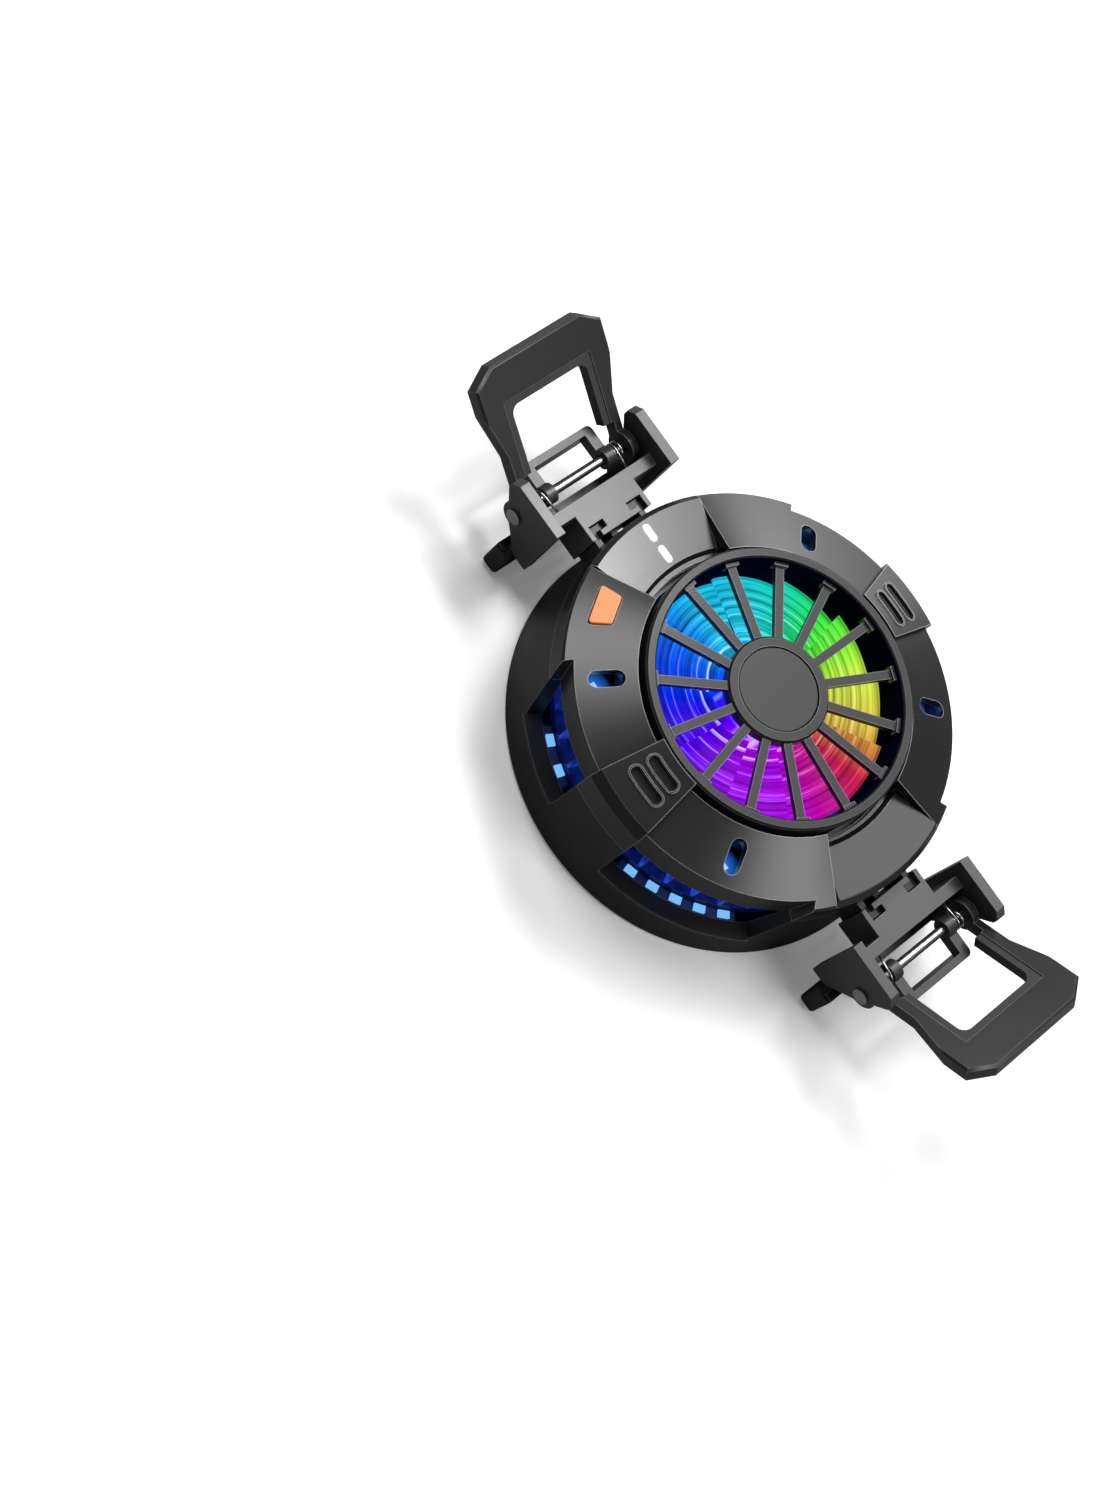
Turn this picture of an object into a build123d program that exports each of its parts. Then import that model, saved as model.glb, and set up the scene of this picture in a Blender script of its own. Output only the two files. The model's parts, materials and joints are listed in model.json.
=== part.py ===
from build123d import *
from math import atan, cos, degrees, pi, radians, sin, sqrt, tan
import os

os.makedirs("parts", exist_ok=True)

# Phone cooling fan. +Z is the front, z = 0 is the face that lies on the phone,
# X runs through the two clip modules with +X at the status panel, and the
# origin is the centre of the back.

# Body
base_radius = 33.0
wall_taper = 1.0
wall_thickness = 2.8
shoulder_radius = base_radius - wall_taper
cavity_radius = base_radius - wall_thickness
waist_depth = 1.5
waist_radius = shoulder_radius - waist_depth
cone_width = 10.0
cone_inner_radius = shoulder_radius - cone_width
parting_height = 15.0
front_height = 4.7
shoulder_height = parting_height + front_height
cone_rise = 3.17
cone_inner_height = shoulder_height + cone_rise
floor_thickness = 2.6
front_skin = 1.7
front_wall = 1.8
wall_inner = waist_radius - front_wall
edge_break = 0.3
overrun = 4.0
seat_gap = 0.15
running_gap = 0.06

cone_slope = cone_rise / (cone_width - waist_depth)
cone_angle = degrees(atan(cone_slope))


def cone_height(radius):
    """Height of the conical front at a radius."""
    return cone_inner_height - cone_slope * (radius - cone_inner_radius)


shoulder_top = cone_height(shoulder_radius)


def wall_radius(height):
    """Radius of the tapered outer wall at a height."""
    return base_radius - (base_radius - shoulder_radius) * height / shoulder_top


# Side vents, as angles from the clip axis
vent_bottom = 7.0
status_notch_angle = 48.5
status_vent_angle = 55.5
plain_notch_angle = 153.0
plain_vent_angle = 144.5
pillar_half_angle = 10.3
lip_height = 0.6
lip_proud = 0.35

# Sunken panels and front slots
panel_half_angle = 20.3
panel_lift = 0.2
panel_top = shoulder_height + panel_lift
panel_thickness = 1.3
panel_shelf = 1.4
panel_step = 0.6
panel_bevel = 0.8
collar_width = 1.2
collar_depth = 2.5
collar_bottom = panel_top - collar_depth
slot_angle = 54.0
slot_place_share = 0.42
slot_length_share = 0.5
slot_place = cone_inner_radius + cone_width * slot_place_share
slot_length = cone_width * slot_length_share
slot_width = 2.5
bar_width = 1.1
bar_shares = ((0.2, 0.48), (0.57, 0.86))

# Grip blocks
grip_inner_rise = 1.43
grip_outer_rise = 0.9
grip_inner_height = cone_inner_height + grip_inner_rise
grip_outer_height = shoulder_height + grip_outer_rise
grip_bevel = 1.2
groove_angle = 9.8
groove_width = 1.7
groove_depth = 0.6
groove_rim = 0.3
groove_rim_height = 0.2
groove_shares = (0.22, 0.5)

# Power button
button_angle = 30.8
button_shares = (0.42, 0.74)
button_inner_radius = cone_inner_radius + cone_width * button_shares[0]
button_outer_radius = cone_inner_radius + cone_width * button_shares[1]
button_inner_half_angle = 5.1
button_outer_half_angle = 6.4
button_corner = 0.5
button_proud = 0.35
button_flange = 0.5
button_flange_width = 0.6
button_stem_radius = 1.0
button_stem_end = 3.1

# Back: magnets, pad, cold plate
recess_depth = 0.6
recess_margin = 2.2
recess_outer_radius = base_radius - recess_margin
screw_band = 3.8
magnet_outer_radius = recess_outer_radius - screw_band
magnet_width = 5.0
magnet_inner_radius = magnet_outer_radius - magnet_width
cover_lap = 1.7
recess_inner_radius = magnet_inner_radius - cover_lap
magnet_thickness = 1.6
magnet_count = 16
magnet_gap_angle = 1.2
floor_land = 5.3
plate_radius = recess_inner_radius - floor_land
pad_inset = 0.5
pad_thickness = 0.8
plate_flange_width = 1.5
plate_flange_radius = plate_radius + plate_flange_width
plate_flange_thickness = 0.6
peltier_share = 0.667
peltier_side = 2 * plate_radius * peltier_share
peltier_thickness = 3.0
gasket_width = 3.7

# Heat sink
sink_clearance = 1.8
sink_radius = cavity_radius - sink_clearance
sink_base_thickness = 1.5
sink_drop = 0.8
sink_top = parting_height - sink_drop
fin_count = 40
fin_thickness = 0.5
fin_length = 16.4
fin_inner_radius = sink_radius - fin_length

# Case screws
post_radius = 1.6
post_inset = 1.3
post_place_radius = cavity_radius - post_inset
post_angles = (41.0, 155.5, 204.5, 319.0)
screw_radius = 0.75
screw_head_radius = 1.2
screw_head_height = 1.1
screw_head_inset = 0.2
screw_bite = 2.9
boss_height = 3.8

# Fan and its duct
duct_inset = 2.25
duct_radius = cone_inner_radius - duct_inset
duct_wall = 1.0
duct_height = 7.7
duct_top = sink_top + duct_height
duct_flange_reach = 2.0
duct_flange_radius = cone_inner_radius + duct_flange_reach
duct_flange_thickness = 0.8
blade_tip_gap = 0.65
fan_radius = duct_radius - blade_tip_gap
hub_radius = 7.6
motor_plate_lap = 0.2
motor_plate_radius = hub_radius + motor_plate_lap
motor_plate_thickness = 1.0
strut_count = 4
strut_width = 1.6
strut_start_angle = 45.0
hub_height = 4.9
hub_wall = 1.0
hub_lift = 0.3
blade_count = 11
blade_overlap_angle = 38.0
blade_thickness = 0.8
blade_bottom_inset = 0.3
blade_height = 3.7
shaft_radius = 0.75
sleeve_radius = 2.1
sleeve_height = 3.6
stator_radius = 4.9
stator_height = 2.7
stator_lift = 0.4
stator_core_wall = 0.8
pole_count = 6
pole_width = 0.8
shoe_depth = 0.5
shoe_half_angle = 22.0
rotor_magnet_thickness = 1.0
rotor_magnet_height = 3.0

# Grille
rim_inset = 0.6
rim_outer_radius = cone_inner_radius - rim_inset
rim_step = 0.05
rim_inner_radius = duct_radius + rim_step
rim_height = 2.4
rim_top = duct_top + rim_height
spoke_count = 15
spoke_start_angle = 270.0
spoke_width = 1.35
spoke_thickness = 1.0
spoke_foot_width = 2.2
spoke_foot_depth = 0.6
spoke_foot_rise = 0.5
hub_ring_lap = 0.5
hub_ring_radius = hub_radius + hub_ring_lap
hub_ring_width = 1.6
hub_ring_inner_radius = hub_ring_radius - hub_ring_width
hub_ring_drop = 1.0
hub_ring_top = rim_top - hub_ring_drop
cap_thickness = 1.0
cap_floor_thickness = 0.8
cap_inset = 0.1

# Boards and lights
board_thickness = 0.8
board_inner_gap = 0.45
board_inner_radius = duct_radius + duct_wall + board_inner_gap
board_outer_gap = 0.3
board_outer_radius = wall_inner - board_outer_gap
chip_side = 1.8
chip_height = 0.6
strip_clearance = 0.2
strip_inner_radius = sink_radius + strip_clearance
strip_outer_radius = cavity_radius - strip_clearance
strip_drop = 0.5
strip_top = vent_bottom - strip_drop
strip_margin_angle = 3.0
strip_chip_pitch_angle = 7.0
strip_chip_height = 0.5
switch_side = 2.8
switch_height = 1.2

# Inlet socket
socket_width = 8.94
socket_height = 3.2
socket_wall = 0.3
socket_depth = 7.3
socket_inset = 0.8
socket_level = 9.6
socket_tongue_width = 6.7
socket_tongue_thickness = 0.7
socket_tongue_depth = 5.6

# L-shaped ears on the wall
ear_drop = 0.4
ear_height = 6.0
ear_top = parting_height - ear_drop
ear_bottom = ear_top - ear_height
ear_leg_inner = 4.1
ear_leg_thickness = 1.0
ear_leg_outer = ear_leg_inner + ear_leg_thickness
ear_length = 1.9
ear_reach = base_radius + ear_length
ear_tip_thickness = 0.9
ear_tip_length = 1.5
ear_tip_inner = ear_leg_inner - ear_tip_length
stub_width = 1.2
stub_setback = 1.2
stub_reach = ear_reach - stub_setback
stub_drop = 2.2
stub_top = ear_top - stub_drop

# Clip module: carrier
tongue_tuck = 0.1
tongue_inner = base_radius - tongue_tuck
tongue_length = 4.5
tongue_outer = tongue_inner + tongue_length
tongue_rail = 1.0
tongue_half_width = ear_leg_outer + tongue_rail
tongue_lap = 1.1
tongue_top = ear_top + tongue_lap
cross_plate_thickness = 2.0
lug_outer = 12.7
lug_thickness = 1.8
lug_inner = lug_outer - lug_thickness
lug_setback = 3.0
lug_back = tongue_inner + lug_setback
axle_reach = 5.2
axle_x = tongue_outer + axle_reach
axle_drop = 1.6
axle_z = ear_top - axle_drop
lug_nose = 3.6
lug_front = axle_x + lug_nose
lug_rise = 5.8
lug_top = axle_z + lug_rise
lug_fall = 6.7
lug_bottom = axle_z - lug_fall
lug_foot_length = 2.7
lug_bevel = 1.2
lug_boss_radius = 2.3
axle_radius = 0.75
axle_head_radius = 1.3
axle_head_height = 0.4

# Clip module: clamp arm, with s along the handle and t square to it
arm_tilt = 33.3
handle_length = 22.0
handle_corner_length = 2.4
handle_corner_width = 3.75
handle_flare_start = 8.3
handle_flare_end = 15.5
handle_opening_end = 14.9
handle_opening_corner = 1.5
handle_front = 0.2
handle_back = 2.0
handle_root = 4.4
handle_edge_break = 0.4
lip_edge_count = 5
handle_margin = 0.1
handle_half_width = lug_outer - handle_margin
liner_width = 1.2
liner_inset = 0.2
cheek_gap = 0.3
cheek_thickness = 1.3
cheek_outer = lug_inner - cheek_gap
cheek_inner = cheek_outer - cheek_thickness
cheek_hub_radius = 2.6
jaw_setback = 2.6
jaw_thickness = 1.4
jaw_inner = axle_x - jaw_setback
jaw_outer = jaw_inner + jaw_thickness
jaw_bottom = 1.0
jaw_clearance = 0.3
jaw_top = lug_bottom - jaw_clearance
jaw_overhang = 0.6
jaw_half_width = lug_outer + jaw_overhang
jaw_pad_thickness = 1.6
jaw_pad_bottom = 0.8
jaw_pad_drop = 0.6
jaw_pad_top = jaw_top - jaw_pad_drop
jaw_pad_edge = 0.7
jaw_rib_count = 3
jaw_rib_depth = 0.35

# Clip module: lock bail
spring_inset = 2.05
spring_inner = cheek_inner - spring_inset
bail_side_gap = 0.25
bail_half_width = spring_inner - bail_side_gap
bail_swing_gap = 0.5
handle_opening_half_width = bail_half_width + bail_swing_gap
bail_knuckle_width = 1.8
bail_knuckle_radius = 1.6
bail_reach = 4.3
bail_strip_thickness = 1.2
bail_strip_inner = axle_x + bail_reach
bail_strip_outer = bail_strip_inner + bail_strip_thickness
bail_strip_depth = 4.8
bail_link_depth = 2.1
bail_rise = 0.3
bail_top = axle_z + bail_rise
bail_strip_bottom = bail_top - bail_strip_depth
bail_link_bottom = bail_top - bail_link_depth
bail_corner = 0.9

# Clip module: torsion springs
spring_wire = 0.4
spring_radius = 1.35
spring_pitch = 0.85
spring_turns = 1.25
spring_leg = 3.0
spring_post_radius = 0.6
spring_post_drop = 2.4

# Tables of places
vent_edges = (
    (status_notch_angle, status_vent_angle, 90.0 - pillar_half_angle),
    (plain_notch_angle, plain_vent_angle, 90.0 + pillar_half_angle),
)
slot_angles = (slot_angle, 180.0 - slot_angle, 180.0 + slot_angle, 360.0 - slot_angle)
sides = (1, -1)


def polar(radius, angle, height=0.0):
    """Point at a radius, an angle from +X and a height."""
    return Vector(radius * cos(radians(angle)), radius * sin(radians(angle)), height)


def radial_plane(angle):
    """Upright plane through the axis, local x outward and local y up."""
    return Plane(
        origin=(0, 0, 0),
        x_dir=(cos(radians(angle)), sin(radians(angle)), 0),
        z_dir=(sin(radians(angle)), -cos(radians(angle)), 0),
    )


def slope_plane(radius, angle, height, slope):
    """Plane on a cone, local x down the slope and local z out of the face."""
    return Plane(
        origin=tuple(polar(radius, angle, height)),
        x_dir=tuple(polar(cos(radians(slope)), angle, -sin(radians(slope)))),
        z_dir=tuple(polar(sin(radians(slope)), angle, cos(radians(slope)))),
    )


def ring_sector(inner, outer, start, end):
    """Flat sector between two radii and two angles."""
    middle = (start + end) / 2
    with BuildSketch(Plane.XY) as drawing:
        with BuildLine():
            Line(polar(inner, start), polar(outer, start))
            ThreePointArc(polar(outer, start), polar(outer, middle), polar(outer, end))
            Line(polar(outer, end), polar(inner, end))
            ThreePointArc(polar(inner, end), polar(inner, middle), polar(inner, start))
        make_face()
    return drawing.sketch


def slanted_sector(inner, outer, bottom, top, notch_angle, vent_angle, end_angle):
    """Ring sector whose clip-side end leans from the notch down to the vent."""
    sign = 1 if end_angle > notch_angle else -1
    high = polar(base_radius, notch_angle, shoulder_height)
    low = polar(base_radius, vent_angle, vent_bottom)
    middle_angle = (notch_angle + vent_angle) / 2
    outward = polar(1, middle_angle)
    normal = (high - low).cross(outward).normalized()
    forward = polar(1, middle_angle + sign * 90)
    if normal.dot(forward) < 0:
        normal = normal * -1
    lean = Plane(origin=(high + low) / 2, z_dir=normal)
    first, last = sorted((2 * notch_angle - vent_angle, end_angle))
    with BuildPart() as wedge:
        with BuildSketch(Plane.XY.offset(bottom)):
            add(ring_sector(inner, outer, first, last))
        extrude(amount=top - bottom)
        split(bisect_by=lean, keep=Keep.TOP)
    return wedge.part


def mirrored(solid):
    """The solid and its mirror image across the clip axis."""
    return (solid, mirror(solid, about=Plane.XZ))


def save(piece, name):
    """Write a finished piece under its name."""
    piece.part.label = name
    export_step(piece.part, f"parts/{name}.step")


# Base shell: floor, tapered wall with four vents, screw posts and L-shaped ears
vent_cutters = []
lip_strips = []
for notch_angle, vent_angle, end_angle in vent_edges:
    opening = slanted_sector(
        cavity_radius - overrun / 2,
        base_radius + overrun,
        vent_bottom,
        parting_height + overrun,
        notch_angle,
        vent_angle,
        end_angle,
    )
    vent_cutters.extend(mirrored(opening))
    first, last = sorted((vent_angle, end_angle))
    with BuildPart() as lip:
        with BuildSketch(Plane.XY.offset(vent_bottom - lip_height)):
            add(ring_sector(cavity_radius, wall_radius(vent_bottom) + lip_proud, first, last))
        extrude(amount=lip_height)
    lip_strips.extend(mirrored(lip.part))


def ear_outline(side):
    """Plan of the two L-shaped ears at one end of the clip axis."""
    root = (cavity_radius + wall_radius(ear_top)) / 2 * side
    reach = ear_reach * side
    turn = (ear_reach - ear_tip_thickness) * side
    with BuildSketch(Plane.XY) as drawing:
        with BuildLine():
            Polyline(
                (root, ear_leg_inner),
                (turn, ear_leg_inner),
                (turn, ear_tip_inner),
                (reach, ear_tip_inner),
                (reach, ear_leg_outer),
                (root, ear_leg_outer),
                close=True,
            )
        make_face()
        mirror(about=Plane.XZ)
    return drawing.sketch


def stub_outline(side):
    """Plan of the short stop between the two ears."""
    root = (cavity_radius + wall_radius(ear_top)) / 2
    with BuildSketch(Plane.XY) as drawing:
        with Locations(((root + stub_reach) / 2 * side, 0)):
            Rectangle(stub_reach - root, stub_width)
    return drawing.sketch


plate_bore_radius = plate_radius + seat_gap
posts = [polar(post_place_radius, angle) for angle in post_angles]
socket_face = wall_radius(socket_level) - socket_inset
socket_plane = Plane(origin=(0, -socket_face, socket_level), x_dir=(1, 0, 0), z_dir=(0, -1, 0))

with BuildPart() as base_shell:
    with BuildSketch(Plane.XZ):
        with BuildLine():
            Polyline(
                (plate_bore_radius, 0),
                (base_radius - edge_break, 0),
                (wall_radius(edge_break), edge_break),
                (wall_radius(parting_height), parting_height),
                (cavity_radius, parting_height),
                (cavity_radius, floor_thickness),
                (plate_bore_radius, floor_thickness),
                close=True,
            )
        make_face()
    revolve(axis=Axis.Z)
    for strip in lip_strips:
        add(strip)
    with BuildSketch(Plane.XY.offset(floor_thickness)):
        with Locations(*posts):
            Circle(post_radius)
    extrude(amount=parting_height - floor_thickness)
    for opening in vent_cutters:
        add(opening, mode=Mode.SUBTRACT)
    for side in sides:
        with BuildSketch(Plane.XY.offset(ear_bottom)):
            add(ear_outline(side))
        extrude(amount=ear_top - ear_bottom)
        with BuildSketch(Plane.XY.offset(ear_bottom)):
            add(stub_outline(side))
        extrude(amount=stub_top - ear_bottom)
    with BuildSketch(Plane.XY):
        Circle(recess_outer_radius)
        Circle(recess_inner_radius, mode=Mode.SUBTRACT)
    extrude(amount=recess_depth, mode=Mode.SUBTRACT)
    with BuildSketch(Plane.XY):
        Circle(magnet_outer_radius + seat_gap)
        Circle(magnet_inner_radius - seat_gap, mode=Mode.SUBTRACT)
    extrude(amount=recess_depth + magnet_thickness, mode=Mode.SUBTRACT)
    with BuildSketch(Plane.XY):
        with Locations(*posts):
            Circle(screw_radius + seat_gap)
    extrude(amount=parting_height, mode=Mode.SUBTRACT)
    with BuildSketch(Plane.XY):
        with Locations(*posts):
            Circle(screw_head_radius + seat_gap)
    extrude(amount=recess_depth + screw_head_inset + screw_head_height, mode=Mode.SUBTRACT)
    with BuildSketch(socket_plane):
        SlotOverall(socket_width + 2 * seat_gap, socket_height + 2 * seat_gap)
    extrude(amount=overrun, both=True, mode=Mode.SUBTRACT)
save(base_shell, "base_shell")

# Silicone ring that covers the magnets and the screw heads
with BuildPart() as cover_ring:
    with BuildSketch(Plane.XY):
        Circle(recess_outer_radius - seat_gap)
        Circle(recess_inner_radius + seat_gap, mode=Mode.SUBTRACT)
    extrude(amount=recess_depth)
save(cover_ring, "cover_ring")

# Ring of arc magnets
magnet_step = 360 / magnet_count
with BuildPart() as magnet_ring:
    with BuildSketch(Plane.XY.offset(recess_depth)):
        with PolarLocations(0, magnet_count):
            add(ring_sector(magnet_inner_radius, magnet_outer_radius, 0, magnet_step - magnet_gap_angle))
    extrude(amount=magnet_thickness)
save(magnet_ring, "magnet_ring")

# Contact pad, cold plate and cooling module, stacked through the floor
with BuildPart() as contact_pad:
    with BuildSketch(Plane.XY):
        Circle(plate_radius - pad_inset)
    extrude(amount=pad_thickness)
save(contact_pad, "contact_pad")

plate_top = floor_thickness + plate_flange_thickness
with BuildPart() as cold_plate:
    with BuildSketch(Plane.XY.offset(pad_thickness)):
        Circle(plate_radius)
    extrude(amount=plate_top - pad_thickness)
    with BuildSketch(Plane.XY.offset(floor_thickness)):
        Circle(plate_flange_radius)
    extrude(amount=plate_flange_thickness)
save(cold_plate, "cold_plate")

sink_bottom = plate_top + peltier_thickness
with BuildPart() as peltier_module:
    with BuildSketch(Plane.XY.offset(plate_top)):
        Rectangle(peltier_side, peltier_side)
    extrude(amount=peltier_thickness)
save(peltier_module, "peltier_module")

with BuildPart() as foam_gasket:
    with BuildSketch(Plane.XY.offset(floor_thickness)):
        Circle(plate_flange_radius + seat_gap + gasket_width)
        Circle(plate_flange_radius + seat_gap, mode=Mode.SUBTRACT)
    extrude(amount=sink_bottom - floor_thickness)
save(foam_gasket, "foam_gasket")

# Heat sink: round base with upright radial fins, relieved for posts and socket
fin_bottom = sink_bottom + sink_base_thickness
socket_end = socket_face - socket_depth
with BuildPart() as heat_sink:
    with BuildSketch(Plane.XY.offset(fin_bottom)):
        with PolarLocations((fin_inner_radius + sink_radius) / 2, fin_count):
            Rectangle(sink_radius - fin_inner_radius, fin_thickness)
        with Locations((0, -(socket_end - seat_gap + sink_radius) / 2 - overrun / 2)):
            Rectangle(
                socket_width + overrun,
                sink_radius - socket_end + seat_gap + overrun,
                mode=Mode.SUBTRACT,
            )
    extrude(amount=sink_top - fin_bottom)
    with BuildSketch(Plane.XY.offset(sink_bottom)):
        Circle(sink_radius)
    extrude(amount=sink_base_thickness)
    with BuildSketch(Plane.XY.offset(sink_bottom)):
        with Locations(*posts):
            Circle(post_radius + seat_gap)
    extrude(amount=sink_top - sink_bottom, mode=Mode.SUBTRACT)
save(heat_sink, "heat_sink")

# Light strips behind the vents, each a curved carrier with chips on its edge
with BuildPart() as light_strips:
    for notch_angle, vent_angle, end_angle in vent_edges:
        first, last = sorted((vent_angle, end_angle))
        first = first + strip_margin_angle
        last = last - strip_margin_angle
        chips = int((last - first) / strip_chip_pitch_angle)
        for flip in sides:
            low_angle, high_angle = sorted((first * flip, last * flip))
            with BuildSketch(Plane.XY.offset(floor_thickness)):
                add(ring_sector(strip_inner_radius, strip_outer_radius, low_angle, high_angle))
            extrude(amount=strip_top - floor_thickness)
            for chip in range(chips):
                chip_angle = low_angle + (high_angle - low_angle) * (chip + 0.5) / chips
                chip_half = strip_chip_pitch_angle / 4
                with BuildSketch(Plane.XY.offset(strip_top)):
                    add(
                        ring_sector(
                            strip_inner_radius + seat_gap,
                            strip_outer_radius - seat_gap,
                            chip_angle - chip_half,
                            chip_angle + chip_half,
                        )
                    )
                extrude(amount=strip_chip_height)
save(light_strips, "light_strips")

# Fan duct: tube, flange that carries the board, struts and motor plate
duct_outer = duct_radius + duct_wall
with BuildPart() as fan_duct:
    with BuildSketch(Plane.XY.offset(sink_top)):
        Circle(duct_outer)
        Circle(duct_radius, mode=Mode.SUBTRACT)
    extrude(amount=duct_top - sink_top)
    with BuildSketch(Plane.XY.offset(sink_top)):
        Circle(duct_flange_radius)
        Circle(duct_radius, mode=Mode.SUBTRACT)
    extrude(amount=duct_flange_thickness)
    with BuildSketch(Plane.XY.offset(sink_top)):
        Circle(motor_plate_radius)
        strut_reach = (motor_plate_radius + duct_radius) / 2
        with PolarLocations(strut_reach, strut_count, start_angle=strut_start_angle):
            Rectangle(duct_outer - motor_plate_radius, strut_width)
    extrude(amount=motor_plate_thickness)
save(fan_duct, "fan_duct")

# Motor: bearing sleeve and six-pole stator on the plate
motor_seat = sink_top + motor_plate_thickness
sleeve_bore_radius = shaft_radius + running_gap
with BuildPart() as bearing_sleeve:
    with BuildSketch(Plane.XY.offset(motor_seat)):
        Circle(sleeve_radius)
        Circle(sleeve_bore_radius, mode=Mode.SUBTRACT)
    extrude(amount=sleeve_height)
save(bearing_sleeve, "bearing_sleeve")

stator_bottom = motor_seat
with BuildPart() as stator:
    with BuildSketch(Plane.XY.offset(stator_bottom)):
        Circle(sleeve_radius + stator_core_wall)
        with PolarLocations((sleeve_radius + stator_radius) / 2, pole_count):
            Rectangle(stator_radius - sleeve_radius - shoe_depth, pole_width)
        with PolarLocations(0, pole_count):
            add(
                ring_sector(
                    stator_radius - shoe_depth,
                    stator_radius,
                    -shoe_half_angle,
                    shoe_half_angle,
                )
            )
        Circle(sleeve_radius, mode=Mode.SUBTRACT)
    extrude(amount=stator_lift + stator_height)
save(stator, "stator")

# Fan: hub cup with pitched blades, its shaft and rotor magnet
hub_bottom = motor_seat + hub_lift
hub_top = hub_bottom + hub_height
blade_bottom = hub_bottom + blade_bottom_inset
blade_half_angle = blade_overlap_angle / 2


def blade_section(radius):
    """Leaning blade section at a radius, drawn square to the radius."""
    half_width = radius * tan(radians(blade_half_angle))
    section_plane = Plane(origin=(radius, 0, blade_bottom), x_dir=(0, 1, 0), z_dir=(1, 0, 0))
    with BuildSketch(section_plane) as drawing:
        with BuildLine():
            Polyline(
                (-half_width, 0),
                (half_width, blade_height - blade_thickness),
                (half_width, blade_height),
                (-half_width, blade_thickness),
                close=True,
            )
        make_face()
    return drawing.sketch


with BuildPart() as blade:
    add(blade_section(hub_radius - hub_wall / 2))
    add(blade_section(fan_radius))
    loft(ruled=True)
    with BuildSketch(Plane.XY.offset(blade_bottom)):
        Circle(fan_radius)
    extrude(amount=blade_height, mode=Mode.INTERSECT)

with BuildPart() as fan_rotor:
    with BuildSketch(Plane.XZ):
        with BuildLine():
            Polyline(
                (shaft_radius, hub_top - hub_wall),
                (hub_radius - hub_wall, hub_top - hub_wall),
                (hub_radius - hub_wall, hub_bottom),
                (hub_radius, hub_bottom),
                (hub_radius, hub_top - edge_break),
                (hub_radius - edge_break, hub_top),
                (shaft_radius, hub_top),
                close=True,
            )
        make_face()
    revolve(axis=Axis.Z)
    with PolarLocations(0, blade_count):
        add(blade.part)
    with BuildSketch(Plane.XY.offset(hub_bottom)):
        Circle(hub_radius - hub_wall)
    extrude(amount=hub_height - hub_wall, mode=Mode.SUBTRACT)
save(fan_rotor, "fan_rotor")

with BuildPart() as fan_shaft:
    with BuildSketch(Plane.XY.offset(hub_bottom)):
        Circle(shaft_radius)
    extrude(amount=hub_height)
save(fan_shaft, "fan_shaft")

with BuildPart() as rotor_magnet:
    with BuildSketch(Plane.XY.offset(hub_top - hub_wall - rotor_magnet_height)):
        Circle(hub_radius - hub_wall)
        Circle(hub_radius - hub_wall - rotor_magnet_thickness, mode=Mode.SUBTRACT)
    extrude(amount=rotor_magnet_height)
save(rotor_magnet, "rotor_magnet")

# Grille: rim on the duct, fifteen spokes with footed ends, ring for the cap
with BuildPart() as fan_grille:
    with BuildSketch(Plane.XY.offset(duct_top)):
        Circle(rim_outer_radius)
        Circle(rim_inner_radius, mode=Mode.SUBTRACT)
    extrude(amount=rim_top - duct_top)
    rim_edges = edges().filter_by(GeomType.CIRCLE).group_by(Axis.Z)[-1]
    chamfer(rim_edges, length=edge_break)
    with BuildSketch(Plane.XY.offset(duct_top)):
        spoke_reach = (hub_ring_inner_radius + rim_inner_radius + edge_break) / 2
        with PolarLocations(spoke_reach, spoke_count, start_angle=spoke_start_angle):
            Rectangle(rim_inner_radius + edge_break - hub_ring_inner_radius, spoke_width)
    extrude(amount=spoke_thickness)
    with BuildSketch(Plane.XY.offset(duct_top)):
        foot_reach = rim_inner_radius - spoke_foot_depth / 2 + edge_break / 2
        with PolarLocations(foot_reach, spoke_count, start_angle=spoke_start_angle):
            Rectangle(spoke_foot_depth + edge_break, spoke_foot_width)
    extrude(amount=spoke_thickness + spoke_foot_rise)
    cap_floor = hub_ring_top - cap_inset - cap_thickness
    with BuildSketch(Plane.XY.offset(cap_floor - cap_floor_thickness)):
        Circle(hub_ring_radius)
    extrude(amount=hub_ring_top - cap_floor + cap_floor_thickness)
    hub_edges = edges().filter_by(GeomType.CIRCLE).filter_by(
        lambda edge: abs(edge.radius - hub_ring_radius) < edge_break
        and edge.center().Z > hub_ring_top - edge_break
    )
    chamfer(hub_edges, length=edge_break)
    with BuildSketch(Plane.XY.offset(cap_floor)):
        Circle(hub_ring_inner_radius)
    extrude(amount=cap_thickness + cap_inset, mode=Mode.SUBTRACT)
save(fan_grille, "fan_grille")

with BuildPart() as hub_cap:
    with BuildSketch(Plane.XY.offset(cap_floor)):
        Circle(hub_ring_inner_radius - seat_gap)
    extrude(amount=cap_thickness)
    cap_edges = edges().group_by(Axis.Z)[-1]
    chamfer(cap_edges, length=cap_inset)
save(hub_cap, "hub_cap")

# Front ring: conical face on a stepped wall, cut for panels, slots and button
waist_cutters = []
for notch_angle, vent_angle, end_angle in vent_edges:
    waist = slanted_sector(
        waist_radius,
        base_radius + overrun,
        parting_height,
        cone_inner_height,
        notch_angle,
        vent_angle,
        90.0,
    )
    waist_cutters.extend(mirrored(waist))

panel_bottom = panel_top - panel_thickness
button_mid_radius = (button_inner_radius + button_outer_radius) / 2
button_plane = slope_plane(
    button_mid_radius, button_angle, cone_height(button_mid_radius), cone_angle
)


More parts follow.
